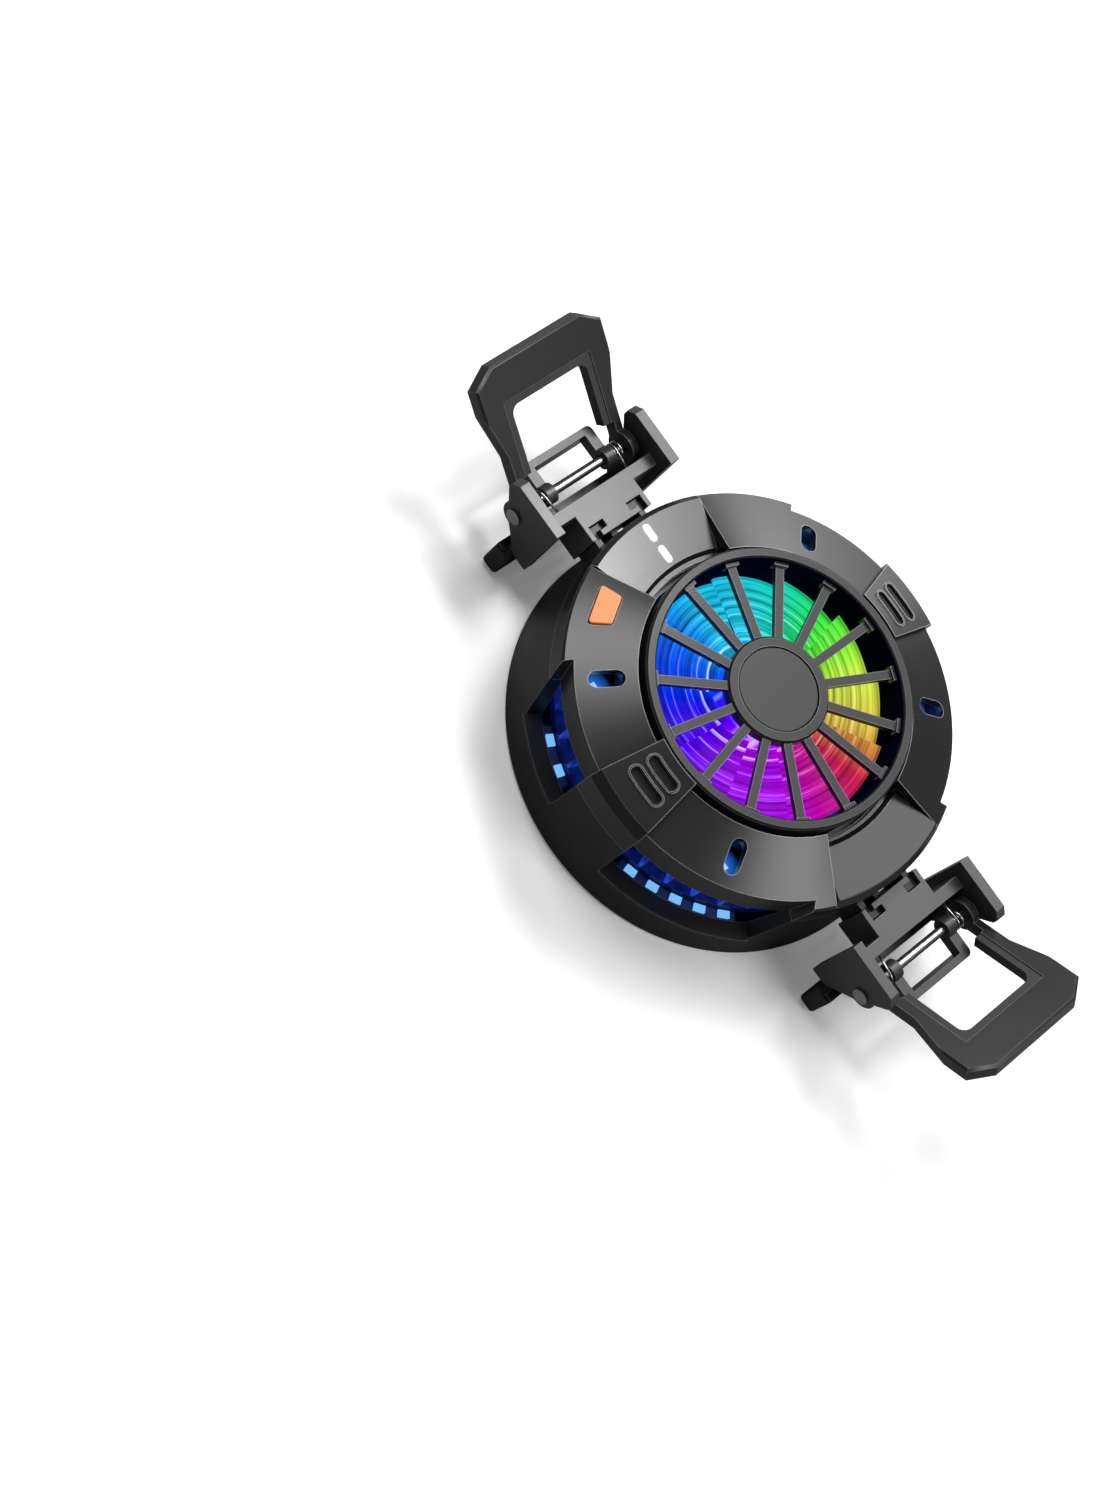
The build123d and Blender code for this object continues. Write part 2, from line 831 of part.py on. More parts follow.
def button_outline(growth):
    """Four-cornered button plan in its sloping plane, grown all round."""
    corners = []
    for radius, half_angle in (
        (button_inner_radius, button_inner_half_angle),
        (button_outer_radius, button_outer_half_angle),
    ):
        along = (radius * cos(radians(half_angle)) - button_mid_radius) / cos(radians(cone_angle))
        across = radius * sin(radians(half_angle))
        corners.append((along, across))
    (inner_along, inner_across), (outer_along, outer_across) = corners
    with BuildSketch(Plane.XY) as drawing:
        with BuildLine():
            Polyline(
                (inner_along, inner_across),
                (outer_along, outer_across),
                (outer_along, -outer_across),
                (inner_along, -inner_across),
                close=True,
            )
        make_face()
        fillet(drawing.vertices(), radius=button_corner)
        if growth > 0:
            offset(amount=growth, kind=Kind.ARC)
    return drawing.sketch


with BuildPart() as front_bezel:
    with BuildSketch(Plane.XZ):
        with BuildLine():
            Polyline(
                (wall_inner, parting_height),
                (wall_radius(parting_height), parting_height),
                (wall_radius(shoulder_top - edge_break), shoulder_top - edge_break),
                (shoulder_radius - edge_break, cone_height(shoulder_radius - edge_break)),
                (cone_inner_radius, cone_inner_height),
                (cone_inner_radius, collar_bottom),
                (cone_inner_radius + collar_width, collar_bottom),
                (
                    cone_inner_radius + collar_width,
                    cone_height(cone_inner_radius + collar_width) - front_skin,
                ),
                (wall_inner, cone_height(wall_inner) - front_skin),
                close=True,
            )
        make_face()
    revolve(axis=Axis.Z)
    with BuildSketch(Plane.XY.offset(parting_height)):
        with Locations(*posts):
            Circle(post_radius)
    extrude(amount=boss_height)
    for waist in waist_cutters:
        add(waist, mode=Mode.SUBTRACT)
    for middle in (0.0, 180.0):
        with BuildSketch(Plane.XY.offset(panel_bottom)):
            add(
                ring_sector(
                    cone_inner_radius - overrun / 2,
                    base_radius + overrun,
                    middle - panel_half_angle,
                    middle + panel_half_angle,
                )
            )
        extrude(amount=cone_inner_height, mode=Mode.SUBTRACT)
    for angle in slot_angles:
        with BuildSketch(Plane.XY.offset(parting_height)):
            with Locations(Location(polar(slot_place, angle), (0, 0, angle))):
                SlotOverall(slot_length, slot_width)
        extrude(amount=cone_inner_height - parting_height, mode=Mode.SUBTRACT)
    with BuildSketch(button_plane):
        add(button_outline(seat_gap))
    extrude(amount=front_skin + seat_gap, both=True, mode=Mode.SUBTRACT)
    with BuildSketch(button_plane.offset(-front_skin)):
        add(button_outline(button_flange_width + seat_gap))
    extrude(amount=-(button_stem_end - front_skin), mode=Mode.SUBTRACT)
    with BuildSketch(Plane.XY.offset(parting_height)):
        with Locations(*posts):
            Circle(screw_radius)
    extrude(amount=screw_bite + seat_gap, mode=Mode.SUBTRACT)
save(front_bezel, "front_bezel")

# Sunken panels at the two clip ends, with a step along the inner edge
panel_angle = panel_half_angle - degrees(atan(seat_gap / shoulder_radius))


def panel_profile(middle):
    """Section of a sunken panel in the radial plane at its first edge."""
    inner = cone_inner_radius + seat_gap
    with BuildSketch(radial_plane(middle - panel_angle)) as drawing:
        with BuildLine():
            Polyline(
                (inner, panel_bottom),
                (wall_radius(panel_bottom), panel_bottom),
                (shoulder_radius, panel_top - panel_bevel),
                (shoulder_radius - panel_bevel, panel_top),
                (cone_inner_radius + panel_shelf, panel_top),
                (cone_inner_radius + panel_shelf - panel_step, panel_top - panel_step),
                (inner, panel_top - panel_step),
                close=True,
            )
        make_face()
    return drawing.sketch


bar_places = [
    (cone_inner_radius + cone_width * (first + last) / 2, cone_width * (last - first))
    for first, last in bar_shares
]

with BuildPart() as status_panel:
    add(panel_profile(0.0))
    revolve(axis=Axis.Z, revolution_arc=2 * panel_angle)
    for place, length in bar_places:
        with BuildSketch(Plane.XY.offset(panel_bottom)):
            with Locations((place, 0)):
                SlotOverall(length + 2 * running_gap, bar_width + 2 * running_gap)
        extrude(amount=panel_thickness, mode=Mode.SUBTRACT)
save(status_panel, "status_panel")

with BuildPart() as plain_panel:
    add(panel_profile(180.0))
    revolve(axis=Axis.Z, revolution_arc=2 * panel_angle)
save(plain_panel, "plain_panel")

with BuildPart() as status_lights:
    for place, length in bar_places:
        with BuildSketch(Plane.XY.offset(panel_bottom)):
            with Locations((place, 0)):
                SlotOverall(length, bar_width)
        extrude(amount=panel_thickness + running_gap)
save(status_lights, "status_lights")

# Grip blocks over the two pillars, each with two rimmed grooves
grip_inner = rim_outer_radius + seat_gap
grip_slope = (grip_inner_height - grip_outer_height) / (shoulder_radius - grip_inner)
grip_angle = degrees(atan(grip_slope))


def grip_height(radius):
    """Height of a grip block's sloping top at a radius."""
    return grip_inner_height - grip_slope * (radius - grip_inner)


groove_middle = cone_inner_radius + cone_width * sum(groove_shares) / 2
groove_spacing = cone_width * (groove_shares[1] - groove_shares[0]) / cos(radians(grip_angle))


def groove_outline(growth):
    """Two curved grooves in a block's sloping plane, grown all round."""
    half_width = groove_width / 2 + growth
    with BuildSketch(Plane.XY) as drawing:
        for side in sides:
            reach = groove_middle + side * groove_spacing / 2
            with Locations((-groove_middle, 0)):
                add(
                    ring_sector(
                        reach - half_width, reach + half_width, -groove_angle / 2, groove_angle / 2
                    )
                )
            for turn in sides:
                end = polar(reach, turn * groove_angle / 2)
                with Locations((end.X - groove_middle, end.Y)):
                    Circle(half_width)
    return drawing.sketch


def grip_block(middle):
    """One grip block, centred on an angle."""
    bevel_start = shoulder_radius - grip_bevel
    first = middle - pillar_half_angle
    face_plane = slope_plane(groove_middle, middle, grip_height(groove_middle), grip_angle)
    with BuildPart() as block:
        with BuildSketch(radial_plane(first)):
            with BuildLine():
                Polyline(
                    (grip_inner, grip_inner_height),
                    (bevel_start, grip_height(bevel_start)),
                    (shoulder_radius, grip_height(shoulder_radius) - grip_bevel),
                    (wall_radius(parting_height), parting_height),
                    (waist_radius, parting_height),
                    (waist_radius, cone_height(waist_radius)),
                    (cone_inner_radius, cone_inner_height),
                    (grip_inner, cone_inner_height),
                    close=True,
                )
            make_face()
        revolve(axis=Axis.Z, revolution_arc=2 * pillar_half_angle)
        with BuildSketch(face_plane.offset(-groove_depth)):
            add(groove_outline(groove_rim))
        extrude(amount=groove_depth + groove_rim_height)
        with BuildSketch(face_plane.offset(-groove_depth)):
            add(groove_outline(0))
        extrude(amount=overrun, mode=Mode.SUBTRACT)
    return block


grip_block_near = grip_block(90.0)
save(grip_block_near, "grip_block_near")
grip_block_far = grip_block(270.0)
save(grip_block_far, "grip_block_far")

# Power button: proud key, retaining flange and stem down to the switch
flange_depth = front_skin + seat_gap
with BuildPart() as power_button:
    with BuildSketch(button_plane.offset(-flange_depth)):
        add(button_outline(0))
    extrude(amount=flange_depth + button_proud)
    with BuildSketch(button_plane.offset(-flange_depth - button_flange)):
        add(button_outline(button_flange_width))
    extrude(amount=button_flange)
    with BuildSketch(button_plane.offset(-button_stem_end)):
        Circle(button_stem_radius)
    extrude(amount=button_stem_end - flange_depth)
save(power_button, "power_button")

# Ring board on the duct flange, with its lights and the button's switch
board_bottom = sink_top + duct_flange_thickness
board_top = board_bottom + board_thickness
with BuildPart() as circuit_board:
    with BuildSketch(Plane.XY.offset(board_bottom)):
        Circle(board_outer_radius)
        Circle(board_inner_radius, mode=Mode.SUBTRACT)
        with Locations(*posts):
            Circle(post_radius + seat_gap, mode=Mode.SUBTRACT)
    extrude(amount=board_thickness)
save(circuit_board, "circuit_board")

chip_places = [polar(slot_place, angle) for angle in slot_angles]
chip_places.append(polar(bar_places[0][0], 0.0))
with BuildPart() as board_lights:
    with BuildSketch(Plane.XY.offset(board_top)):
        with Locations(*chip_places):
            Rectangle(chip_side, chip_side)
    extrude(amount=chip_height)
save(board_lights, "board_lights")

stem_foot = button_plane.offset(-button_stem_end).origin
with BuildPart() as push_switch:
    with BuildSketch(Plane.XY.offset(board_top)):
        with Locations(Location((stem_foot.X, stem_foot.Y, 0), (0, 0, button_angle))):
            Rectangle(switch_side, switch_side)
    extrude(amount=switch_height)
    switch_edges = edges().filter_by(Axis.Z)
    chamfer(switch_edges, length=edge_break)
save(push_switch, "push_switch")

# Case screws, from the back through the posts into the front ring
screw_bottom = recess_depth + screw_head_inset
with BuildPart() as case_screws:
    with BuildSketch(Plane.XY.offset(screw_bottom)):
        with Locations(*posts):
            Circle(screw_head_radius)
    extrude(amount=screw_head_height)
    with BuildSketch(Plane.XY.offset(screw_bottom + screw_head_height)):
        with Locations(*posts):
            Circle(screw_radius)
    extrude(amount=parting_height + screw_bite - screw_bottom - screw_head_height)
save(case_screws, "case_screws")

# Inlet socket: metal shell with a tongue
with BuildPart() as inlet_socket:
    with BuildSketch(socket_plane):
        SlotOverall(socket_width, socket_height)
    extrude(amount=-socket_depth)
    with BuildSketch(socket_plane):
        SlotOverall(socket_width - 2 * socket_wall, socket_height - 2 * socket_wall)
    extrude(amount=-(socket_depth - socket_wall), mode=Mode.SUBTRACT)
    with BuildSketch(socket_plane.offset(-socket_depth)):
        Rectangle(socket_tongue_width, socket_tongue_thickness)
    extrude(amount=socket_tongue_depth)
save(inlet_socket, "inlet_socket")

# Clip module, drawn at the +X end and mirrored to the other
axle_point = (axle_x, 0, axle_z)
arm_plane = Plane(
    origin=axle_point,
    x_dir=(cos(radians(arm_tilt)), 0, sin(radians(arm_tilt))),
    z_dir=(-sin(radians(arm_tilt)), 0, cos(radians(arm_tilt))),
)

with BuildPart() as lug:
    with BuildSketch(Plane.XZ.offset(-lug_inner)):
        with BuildLine():
            Polyline(
                (lug_back, lug_bottom),
                (lug_back + lug_foot_length, lug_bottom),
                (axle_x, axle_z - lug_boss_radius),
                (lug_front, lug_top - 2 * lug_bevel),
                (lug_front, lug_top - lug_bevel),
                (lug_front - lug_bevel, lug_top),
                (lug_back, lug_top),
                close=True,
            )
        make_face()
        with Locations((axle_x, axle_z)):
            Circle(lug_boss_radius)
            Circle(axle_radius, mode=Mode.SUBTRACT)
    extrude(amount=-lug_thickness)

with BuildPart() as carrier:
    with BuildSketch(Plane.XY.offset(ear_bottom)):
        with Locations(((tongue_inner + tongue_outer) / 2, 0)):
            Rectangle(tongue_outer - tongue_inner, 2 * tongue_half_width)
        with Locations((tongue_outer + cross_plate_thickness / 2, 0)):
            Rectangle(cross_plate_thickness, 2 * lug_outer)
    extrude(amount=tongue_top - ear_bottom)
    with BuildSketch(Plane.XY.offset(ear_bottom)):
        with BuildLine():
            Polyline(
                (tongue_inner, ear_leg_inner - seat_gap),
                (ear_reach - ear_tip_thickness - seat_gap, ear_leg_inner - seat_gap),
                (ear_reach - ear_tip_thickness - seat_gap, ear_tip_inner - seat_gap),
                (ear_reach + seat_gap, ear_tip_inner - seat_gap),
                (ear_reach + seat_gap, ear_leg_outer + seat_gap),
                (tongue_inner, ear_leg_outer + seat_gap),
                close=True,
            )
        make_face()
        mirror(about=Plane.XZ)
    extrude(amount=tongue_top - ear_bottom, mode=Mode.SUBTRACT)
    with BuildSketch(Plane.XY.offset(ear_bottom)):
        with Locations(((tongue_inner + stub_reach + seat_gap) / 2, 0)):
            Rectangle(
                stub_reach + seat_gap - tongue_inner, stub_width + 2 * seat_gap
            )
    extrude(amount=stub_top - ear_bottom, mode=Mode.SUBTRACT)
    add(lug.part)
    add(mirror(lug.part, about=Plane.XZ))

with BuildPart() as axle:
    with BuildSketch(Plane.XZ.offset(-lug_outer)):
        with Locations((axle_x, axle_z)):
            Circle(axle_radius)
    extrude(amount=2 * lug_outer)
    with BuildSketch(Plane.XZ.offset(-lug_outer)):
        with Locations((axle_x, axle_z)):
            Circle(axle_head_radius)
    extrude(amount=-axle_head_height)
    with BuildSketch(Plane.XZ.offset(lug_outer)):
        with Locations((axle_x, axle_z)):
            Circle(axle_head_radius)
    extrude(amount=axle_head_height)

liner_outer_half_width = handle_opening_half_width + liner_width
spring_end = spring_inner + spring_pitch * spring_turns
spring_post_x = axle_x + spring_radius - spring_wire / 2 - spring_post_radius
handle_thickness = handle_front + handle_back
with BuildPart() as cheek:
    with BuildSketch(Plane.XZ.offset(-cheek_inner)):
        with Locations((axle_x, axle_z)):
            Circle(cheek_hub_radius)
        with BuildLine():
            Polyline(
                (axle_x - cheek_hub_radius, axle_z),
                (jaw_inner, jaw_bottom),
                (jaw_outer, jaw_bottom),
                (jaw_outer, jaw_top),
                (axle_x + cheek_hub_radius, axle_z),
                close=True,
            )
        make_face()
    extrude(amount=-cheek_thickness)
    with BuildSketch(arm_plane.offset(-handle_back)):
        with Locations((handle_flare_start / 2, (cheek_inner + cheek_outer) / 2)):
            Rectangle(handle_flare_start, cheek_thickness)
    extrude(amount=handle_thickness)
    with BuildSketch(Plane.XZ.offset(-spring_end)):
        with Locations((spring_post_x, axle_z - spring_post_drop)):
            Circle(spring_post_radius)
    extrude(amount=-(cheek_inner - spring_end))

with BuildPart() as clamp_arm:
    with BuildSketch(arm_plane.offset(-handle_back)):
        with BuildLine():
            Polyline(
                (handle_root, 0),
                (handle_root, cheek_outer),
                (handle_flare_start, cheek_outer),
                (handle_flare_end, handle_half_width),
                (handle_length - handle_corner_length, handle_half_width),
                (handle_length, handle_half_width - handle_corner_width),
                (handle_length, 0),
                close=True,
            )
        make_face()
        mirror(about=Plane.XZ)
        with Locations(((handle_opening_end + liner_width) / 2, 0)):
            Rectangle(
                handle_opening_end + liner_width,
                2 * liner_outer_half_width,
                mode=Mode.SUBTRACT,
            )
    extrude(amount=handle_thickness)
    front_edges = edges().group_by(Axis(axle_point, arm_plane.z_dir))[-1]
    lip_edges = front_edges.sort_by(Axis(axle_point, arm_plane.x_dir))[-lip_edge_count:]
    chamfer(lip_edges, length=handle_edge_break)
    with BuildSketch(Plane.XY.offset(jaw_bottom)):
        with Locations(((jaw_inner + jaw_outer) / 2, 0)):
            Rectangle(jaw_outer - jaw_inner, 2 * jaw_half_width)
    extrude(amount=jaw_top - jaw_bottom)
    add(cheek.part)
    add(mirror(cheek.part, about=Plane.XZ))
    with BuildSketch(Plane.XZ):
        with Locations((axle_x, axle_z)):
            Circle(axle_radius + running_gap)
    extrude(amount=lug_outer, both=True, mode=Mode.SUBTRACT)

# Rubber lining of the handle's opening
with BuildPart() as handle_liner:
    with BuildSketch(arm_plane.offset(-handle_back + liner_inset)):
        with Locations(((handle_root + handle_opening_end + liner_width) / 2, 0)):
            Rectangle(
                handle_opening_end + liner_width - handle_root, 2 * liner_outer_half_width
            )
        with Locations((handle_opening_end / 2, 0)):
            RectangleRounded(
                handle_opening_end,
                2 * handle_opening_half_width,
                handle_opening_corner,
                mode=Mode.SUBTRACT,
            )
        with Locations((handle_root / 2 + handle_opening_corner, 0)):
            Rectangle(
                handle_root + 2 * handle_opening_corner,
                2 * handle_opening_half_width,
                mode=Mode.SUBTRACT,
            )
    extrude(amount=handle_thickness - 2 * liner_inset)

# Rubber jaw pad with grip ribs, wrapped round the jaw's two ends
with BuildPart() as jaw_pad:
    with BuildSketch(Plane.XY.offset(jaw_pad_bottom)):
        with Locations(((jaw_inner - jaw_pad_thickness + jaw_outer) / 2, 0)):
            RectangleRounded(
                jaw_outer - jaw_inner + jaw_pad_thickness,
                2 * (jaw_half_width + jaw_pad_edge),
                jaw_pad_edge,
            )
    extrude(amount=jaw_pad_top - jaw_pad_bottom)
    with BuildSketch(Plane.XY.offset(jaw_pad_bottom)):
        with Locations(((jaw_inner + jaw_outer + overrun) / 2, 0)):
            Rectangle(jaw_outer - jaw_inner + overrun, 2 * jaw_half_width)
    extrude(amount=jaw_pad_top - jaw_pad_bottom, mode=Mode.SUBTRACT)
    rib_pitch = (jaw_pad_top - jaw_pad_bottom) / jaw_rib_count
    with BuildSketch(Plane.XZ.offset(-jaw_half_width)):
        for rib in range(jaw_rib_count):
            with Locations((jaw_inner - jaw_pad_thickness, jaw_pad_bottom + (rib + 0.5) * rib_pitch)):
                Rectangle(2 * jaw_rib_depth, rib_pitch / 2)
    extrude(amount=2 * jaw_half_width, mode=Mode.SUBTRACT)

# Wire-like lock bail, two knuckles on the axle and a deep outer strip
bail_strip_middle = (bail_strip_inner + bail_strip_outer) / 2
with BuildPart() as lock_bail:
    with BuildSketch(Plane.XZ.offset(-bail_half_width)):
        with Locations((axle_x, axle_z)):
            Circle(bail_knuckle_radius)
        with BuildLine():
            Polyline(
                (axle_x, bail_link_bottom),
                (bail_strip_outer, bail_link_bottom),
                (bail_strip_outer, bail_top),
                (axle_x, bail_top),
                close=True,
            )
        make_face()
    extrude(amount=2 * bail_half_width)
    with BuildSketch(Plane.XY.offset(bail_strip_bottom)):
        with Locations((bail_strip_middle, 0)):
            Rectangle(bail_strip_outer - bail_strip_inner, 2 * bail_half_width)
    extrude(amount=bail_top - bail_strip_bottom)
    corner_edges = edges().filter_by(Axis.Z).group_by(Axis.X)[-1]
    fillet(corner_edges, radius=bail_corner)
    with BuildSketch(Plane.XY.offset(bail_strip_bottom)):
        with Locations(((bail_strip_inner + axle_x) / 2 - overrun, 0)):
            Rectangle(
                bail_strip_inner - axle_x + 2 * overrun,
                2 * (bail_half_width - bail_knuckle_width),
            )
    extrude(amount=2 * bail_top, mode=Mode.SUBTRACT)
    with BuildSketch(Plane.XZ):
        with Locations((axle_x, axle_z)):
            Circle(axle_radius + running_gap)
    extrude(amount=lug_outer, both=True, mode=Mode.SUBTRACT)


def arc_triple(start, tangent, end):
    """Start, mid-point and end of the arc that leaves start along tangent."""
    chord = end - start
    square = tangent - chord * (tangent.dot(chord) / chord.dot(chord))
    turn = radians(tangent.get_angle(chord))
    rise = chord.length / 2 * tan(turn / 2)
    return (start, (start + end) / 2 + square.normalized() * rise, end)


def biarc(start, start_tangent, end, end_tangent):
    """Two arcs from one point and tangent to another, with equal reaches."""
    step = end - start
    both = start_tangent + end_tangent
    spread = 2 * (1 - start_tangent.dot(end_tangent))
    reach = (-step.dot(both) + sqrt(step.dot(both) ** 2 + spread * step.dot(step))) / spread
    joint = ((start + start_tangent * reach) + (end - end_tangent * reach)) / 2
    first = arc_triple(start, start_tangent, joint)
    last_start, last_middle, last_end = arc_triple(end, end_tangent * -1, joint)
    return (first, (last_end, last_middle, last_start))


# Torsion springs on the axle between bail and cheeks
quarters_in_turn = 4
quarter_turns = int(spring_turns * quarters_in_turn)


def spring_state(quarter):
    """Place and direction of the coil after a number of quarter turns."""
    angle = 90.0 - 90.0 * quarter
    place = Vector(
        axle_x + spring_radius * cos(radians(angle)),
        spring_inner + spring_wire / 2 + spring_pitch * quarter / quarters_in_turn,
        axle_z + spring_radius * sin(radians(angle)),
    )
    circumference = 2 * pi * spring_radius
    direction = Vector(
        sin(radians(angle)) * circumference,
        spring_pitch,
        -cos(radians(angle)) * circumference,
    ).normalized()
    return place, direction


def spring_route():
    """Straight leg, coil of quarter-turn biarcs, straight leg."""
    states = [spring_state(quarter) for quarter in range(quarter_turns + 1)]
    arcs = []
    for (start, start_tangent), (end, end_tangent) in zip(states, states[1:]):
        arcs.extend(biarc(start, start_tangent, end, end_tangent))
    return states, arcs


spring_states, spring_arcs = spring_route()
first_place, first_direction = spring_states[0]
last_place, last_direction = spring_states[-1]
carrier_leg_length = (axle_x - tongue_outer - cross_plate_thickness) / first_direction.X
carrier_leg = first_place - first_direction * carrier_leg_length
jaw_leg = last_place + last_direction * spring_leg

with BuildPart() as torsion_spring:
    with BuildLine():
        Line(carrier_leg, first_place)
        for start, middle, end in spring_arcs:
            ThreePointArc(start, middle, end)
        Line(last_place, jaw_leg)
    with BuildSketch(Plane(origin=carrier_leg, z_dir=first_direction)):
        Circle(spring_wire / 2)
    sweep()

with BuildPart() as torsion_springs:
    add(torsion_spring.part)
    add(mirror(torsion_spring.part, about=Plane.XZ))

coil_points = [place for place, direction in spring_states]
turn_gap = min(
    (far - near).length
    for index, near in enumerate(coil_points)
    for far in coil_points[index + quarters_in_turn :]
)
print("least gap between spring turns", round(turn_gap - spring_wire, 3), "mm")

clip_pieces = {
    "carrier": carrier,
    "axle": axle,
    "clamp_arm": clamp_arm,
    "handle_liner": handle_liner,
    "jaw_pad": jaw_pad,
    "lock_bail": lock_bail,
    "torsion_springs": torsion_springs,
}
for clip_name, clip_piece in clip_pieces.items():
    save(clip_piece, f"{clip_name}_right")
    with BuildPart() as opposite:
        add(mirror(clip_piece.part, about=Plane.YZ))
    save(opposite, f"{clip_name}_left")
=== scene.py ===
import bpy
import json
from math import cos, pi, radians, sin, sqrt
from mathutils import Matrix, Vector
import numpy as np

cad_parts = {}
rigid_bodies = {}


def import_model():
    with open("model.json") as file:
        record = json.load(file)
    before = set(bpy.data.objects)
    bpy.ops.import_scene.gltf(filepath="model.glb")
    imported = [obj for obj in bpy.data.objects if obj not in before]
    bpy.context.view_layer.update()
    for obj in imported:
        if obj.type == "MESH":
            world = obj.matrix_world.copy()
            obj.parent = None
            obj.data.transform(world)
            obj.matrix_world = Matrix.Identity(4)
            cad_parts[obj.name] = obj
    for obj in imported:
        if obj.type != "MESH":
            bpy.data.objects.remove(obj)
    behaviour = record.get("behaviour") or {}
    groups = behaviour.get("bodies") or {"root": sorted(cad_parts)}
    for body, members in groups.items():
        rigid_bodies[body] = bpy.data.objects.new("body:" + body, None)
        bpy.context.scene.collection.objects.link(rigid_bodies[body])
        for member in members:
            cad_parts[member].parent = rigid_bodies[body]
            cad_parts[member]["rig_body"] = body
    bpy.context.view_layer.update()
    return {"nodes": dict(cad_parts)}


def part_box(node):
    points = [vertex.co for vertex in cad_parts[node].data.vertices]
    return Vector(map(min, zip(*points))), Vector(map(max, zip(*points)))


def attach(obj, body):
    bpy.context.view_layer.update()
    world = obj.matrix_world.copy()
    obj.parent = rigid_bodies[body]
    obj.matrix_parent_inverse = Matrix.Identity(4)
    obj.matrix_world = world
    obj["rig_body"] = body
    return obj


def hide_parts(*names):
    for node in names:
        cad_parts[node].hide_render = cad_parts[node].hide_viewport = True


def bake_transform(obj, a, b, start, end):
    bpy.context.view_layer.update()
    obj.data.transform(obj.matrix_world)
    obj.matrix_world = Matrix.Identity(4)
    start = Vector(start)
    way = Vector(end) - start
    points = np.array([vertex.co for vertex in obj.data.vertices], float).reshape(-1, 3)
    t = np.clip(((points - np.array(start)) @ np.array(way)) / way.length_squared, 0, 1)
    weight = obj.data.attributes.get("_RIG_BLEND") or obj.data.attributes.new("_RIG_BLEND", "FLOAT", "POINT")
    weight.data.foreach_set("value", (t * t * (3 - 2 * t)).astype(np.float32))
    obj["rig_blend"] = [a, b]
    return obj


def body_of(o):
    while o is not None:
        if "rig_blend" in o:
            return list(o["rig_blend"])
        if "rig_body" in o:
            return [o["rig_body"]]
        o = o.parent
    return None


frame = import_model()
MM = 0.001

# Back of the body: silicone ring over the magnets, and the gray pad that
# touches the phone, die-cut from soft sheet and glued into its seat. Both are
# matt, with the fine speckle of moulded silicone.
GRAIN_SCALE = 2600.0
CLOUD_SCALE = 60.0
GRAIN_HEIGHT = 0.05
# Painted edge highlight: how far the edge mask reaches, and where it starts and is full.
HIGHLIGHT_RADIUS = 0.24
HIGHLIGHT_SAMPLES = 6
HIGHLIGHT_START = 0.985
HIGHLIGHT_FULL = 0.80


def fill(tree, entry, source):
    """Link a socket to a node's input, or set the input to a plain value."""
    if isinstance(source, bpy.types.NodeSocket):
        tree.links.new(source, entry)
    else:
        entry.default_value = source


def new_node(tree, kind, entries, **settings):
    """A shader node, with its settings made and then its inputs filled."""
    node = tree.nodes.new(kind)
    for name, value in settings.items():
        setattr(node, name, value)
    for name, source in entries.items():
        fill(tree, node.inputs[name], source)
    return node


def object_place(tree):
    """The point's place in the object's own frame."""
    return new_node(tree, "ShaderNodeTexCoord", {}).outputs["Object"]


def along_axes(tree, vector):
    """A vector's X, Y and Z, as named outputs."""
    return new_node(tree, "ShaderNodeSeparateXYZ", {"Vector": vector}).outputs


def noise(tree, vector, scale, detail=2.0, roughness=0.5):
    """Noise value from 0 to 1."""
    entries = {"Vector": vector, "Scale": scale, "Detail": detail, "Roughness": roughness}
    return new_node(tree, "ShaderNodeTexNoise", entries).outputs["Fac"]


def mapped(tree, value, low, high, first=0.0, last=1.0):
    """A value between two limits, mapped onto two others."""
    limits = {"From Min": low, "From Max": high, "To Min": first, "To Max": last}
    return new_node(tree, "ShaderNodeMapRange", {"Value": value, **limits}).outputs["Result"]


def maths(tree, operation, *terms):
    """One Math node's result; each term is a socket or a number."""
    entries = dict(enumerate(terms))
    return new_node(tree, "ShaderNodeMath", entries, operation=operation).outputs["Value"]


def vector_maths(tree, operation, *terms, result="Vector"):
    """One Vector Math node's result; each term is a socket or three numbers."""
    entries = dict(enumerate(terms))
    return new_node(tree, "ShaderNodeVectorMath", entries, operation=operation).outputs[result]


def scaled(tree, vector, factor):
    """A vector times a number."""
    entries = {0: vector, "Scale": factor}
    return new_node(tree, "ShaderNodeVectorMath", entries, operation="SCALE").outputs["Vector"]


def mixed(tree, factor, first, second):
    """The colour between two colours, at a factor from 0 to 1."""
    entries = {"Factor": factor, "A": first, "B": second}
    return new_node(tree, "ShaderNodeMix", entries, data_type="RGBA").outputs["Result"]


def new_group(name, entries, results):
    """An empty node group of plain values, with its entry and exit nodes."""
    group = bpy.data.node_groups.new(name, "ShaderNodeTree")
    for label, value in entries.items():
        made = group.interface.new_socket(name=label, in_out="INPUT", socket_type="NodeSocketFloat")
        made.default_value = value
    for label in results:
        group.interface.new_socket(name=label, in_out="OUTPUT", socket_type="NodeSocketFloat")
    return group, group.nodes.new("NodeGroupInput"), group.nodes.new("NodeGroupOutput")


def moulded_grain():
    """Node group: speckle and slow clouding of a moulded surface."""
    scales = {"Grain Scale": GRAIN_SCALE, "Cloud Scale": CLOUD_SCALE}
    group, entry, leave = new_group("Moulded Grain", scales, ("Tone", "Height"))
    place = object_place(group)
    speckle = noise(group, place, entry.outputs["Grain Scale"], detail=3.0)
    cloud = noise(group, place, entry.outputs["Cloud Scale"])
    fill(group, leave.inputs["Height"], speckle)
    fill(group, leave.inputs["Tone"], cloud)
    return group


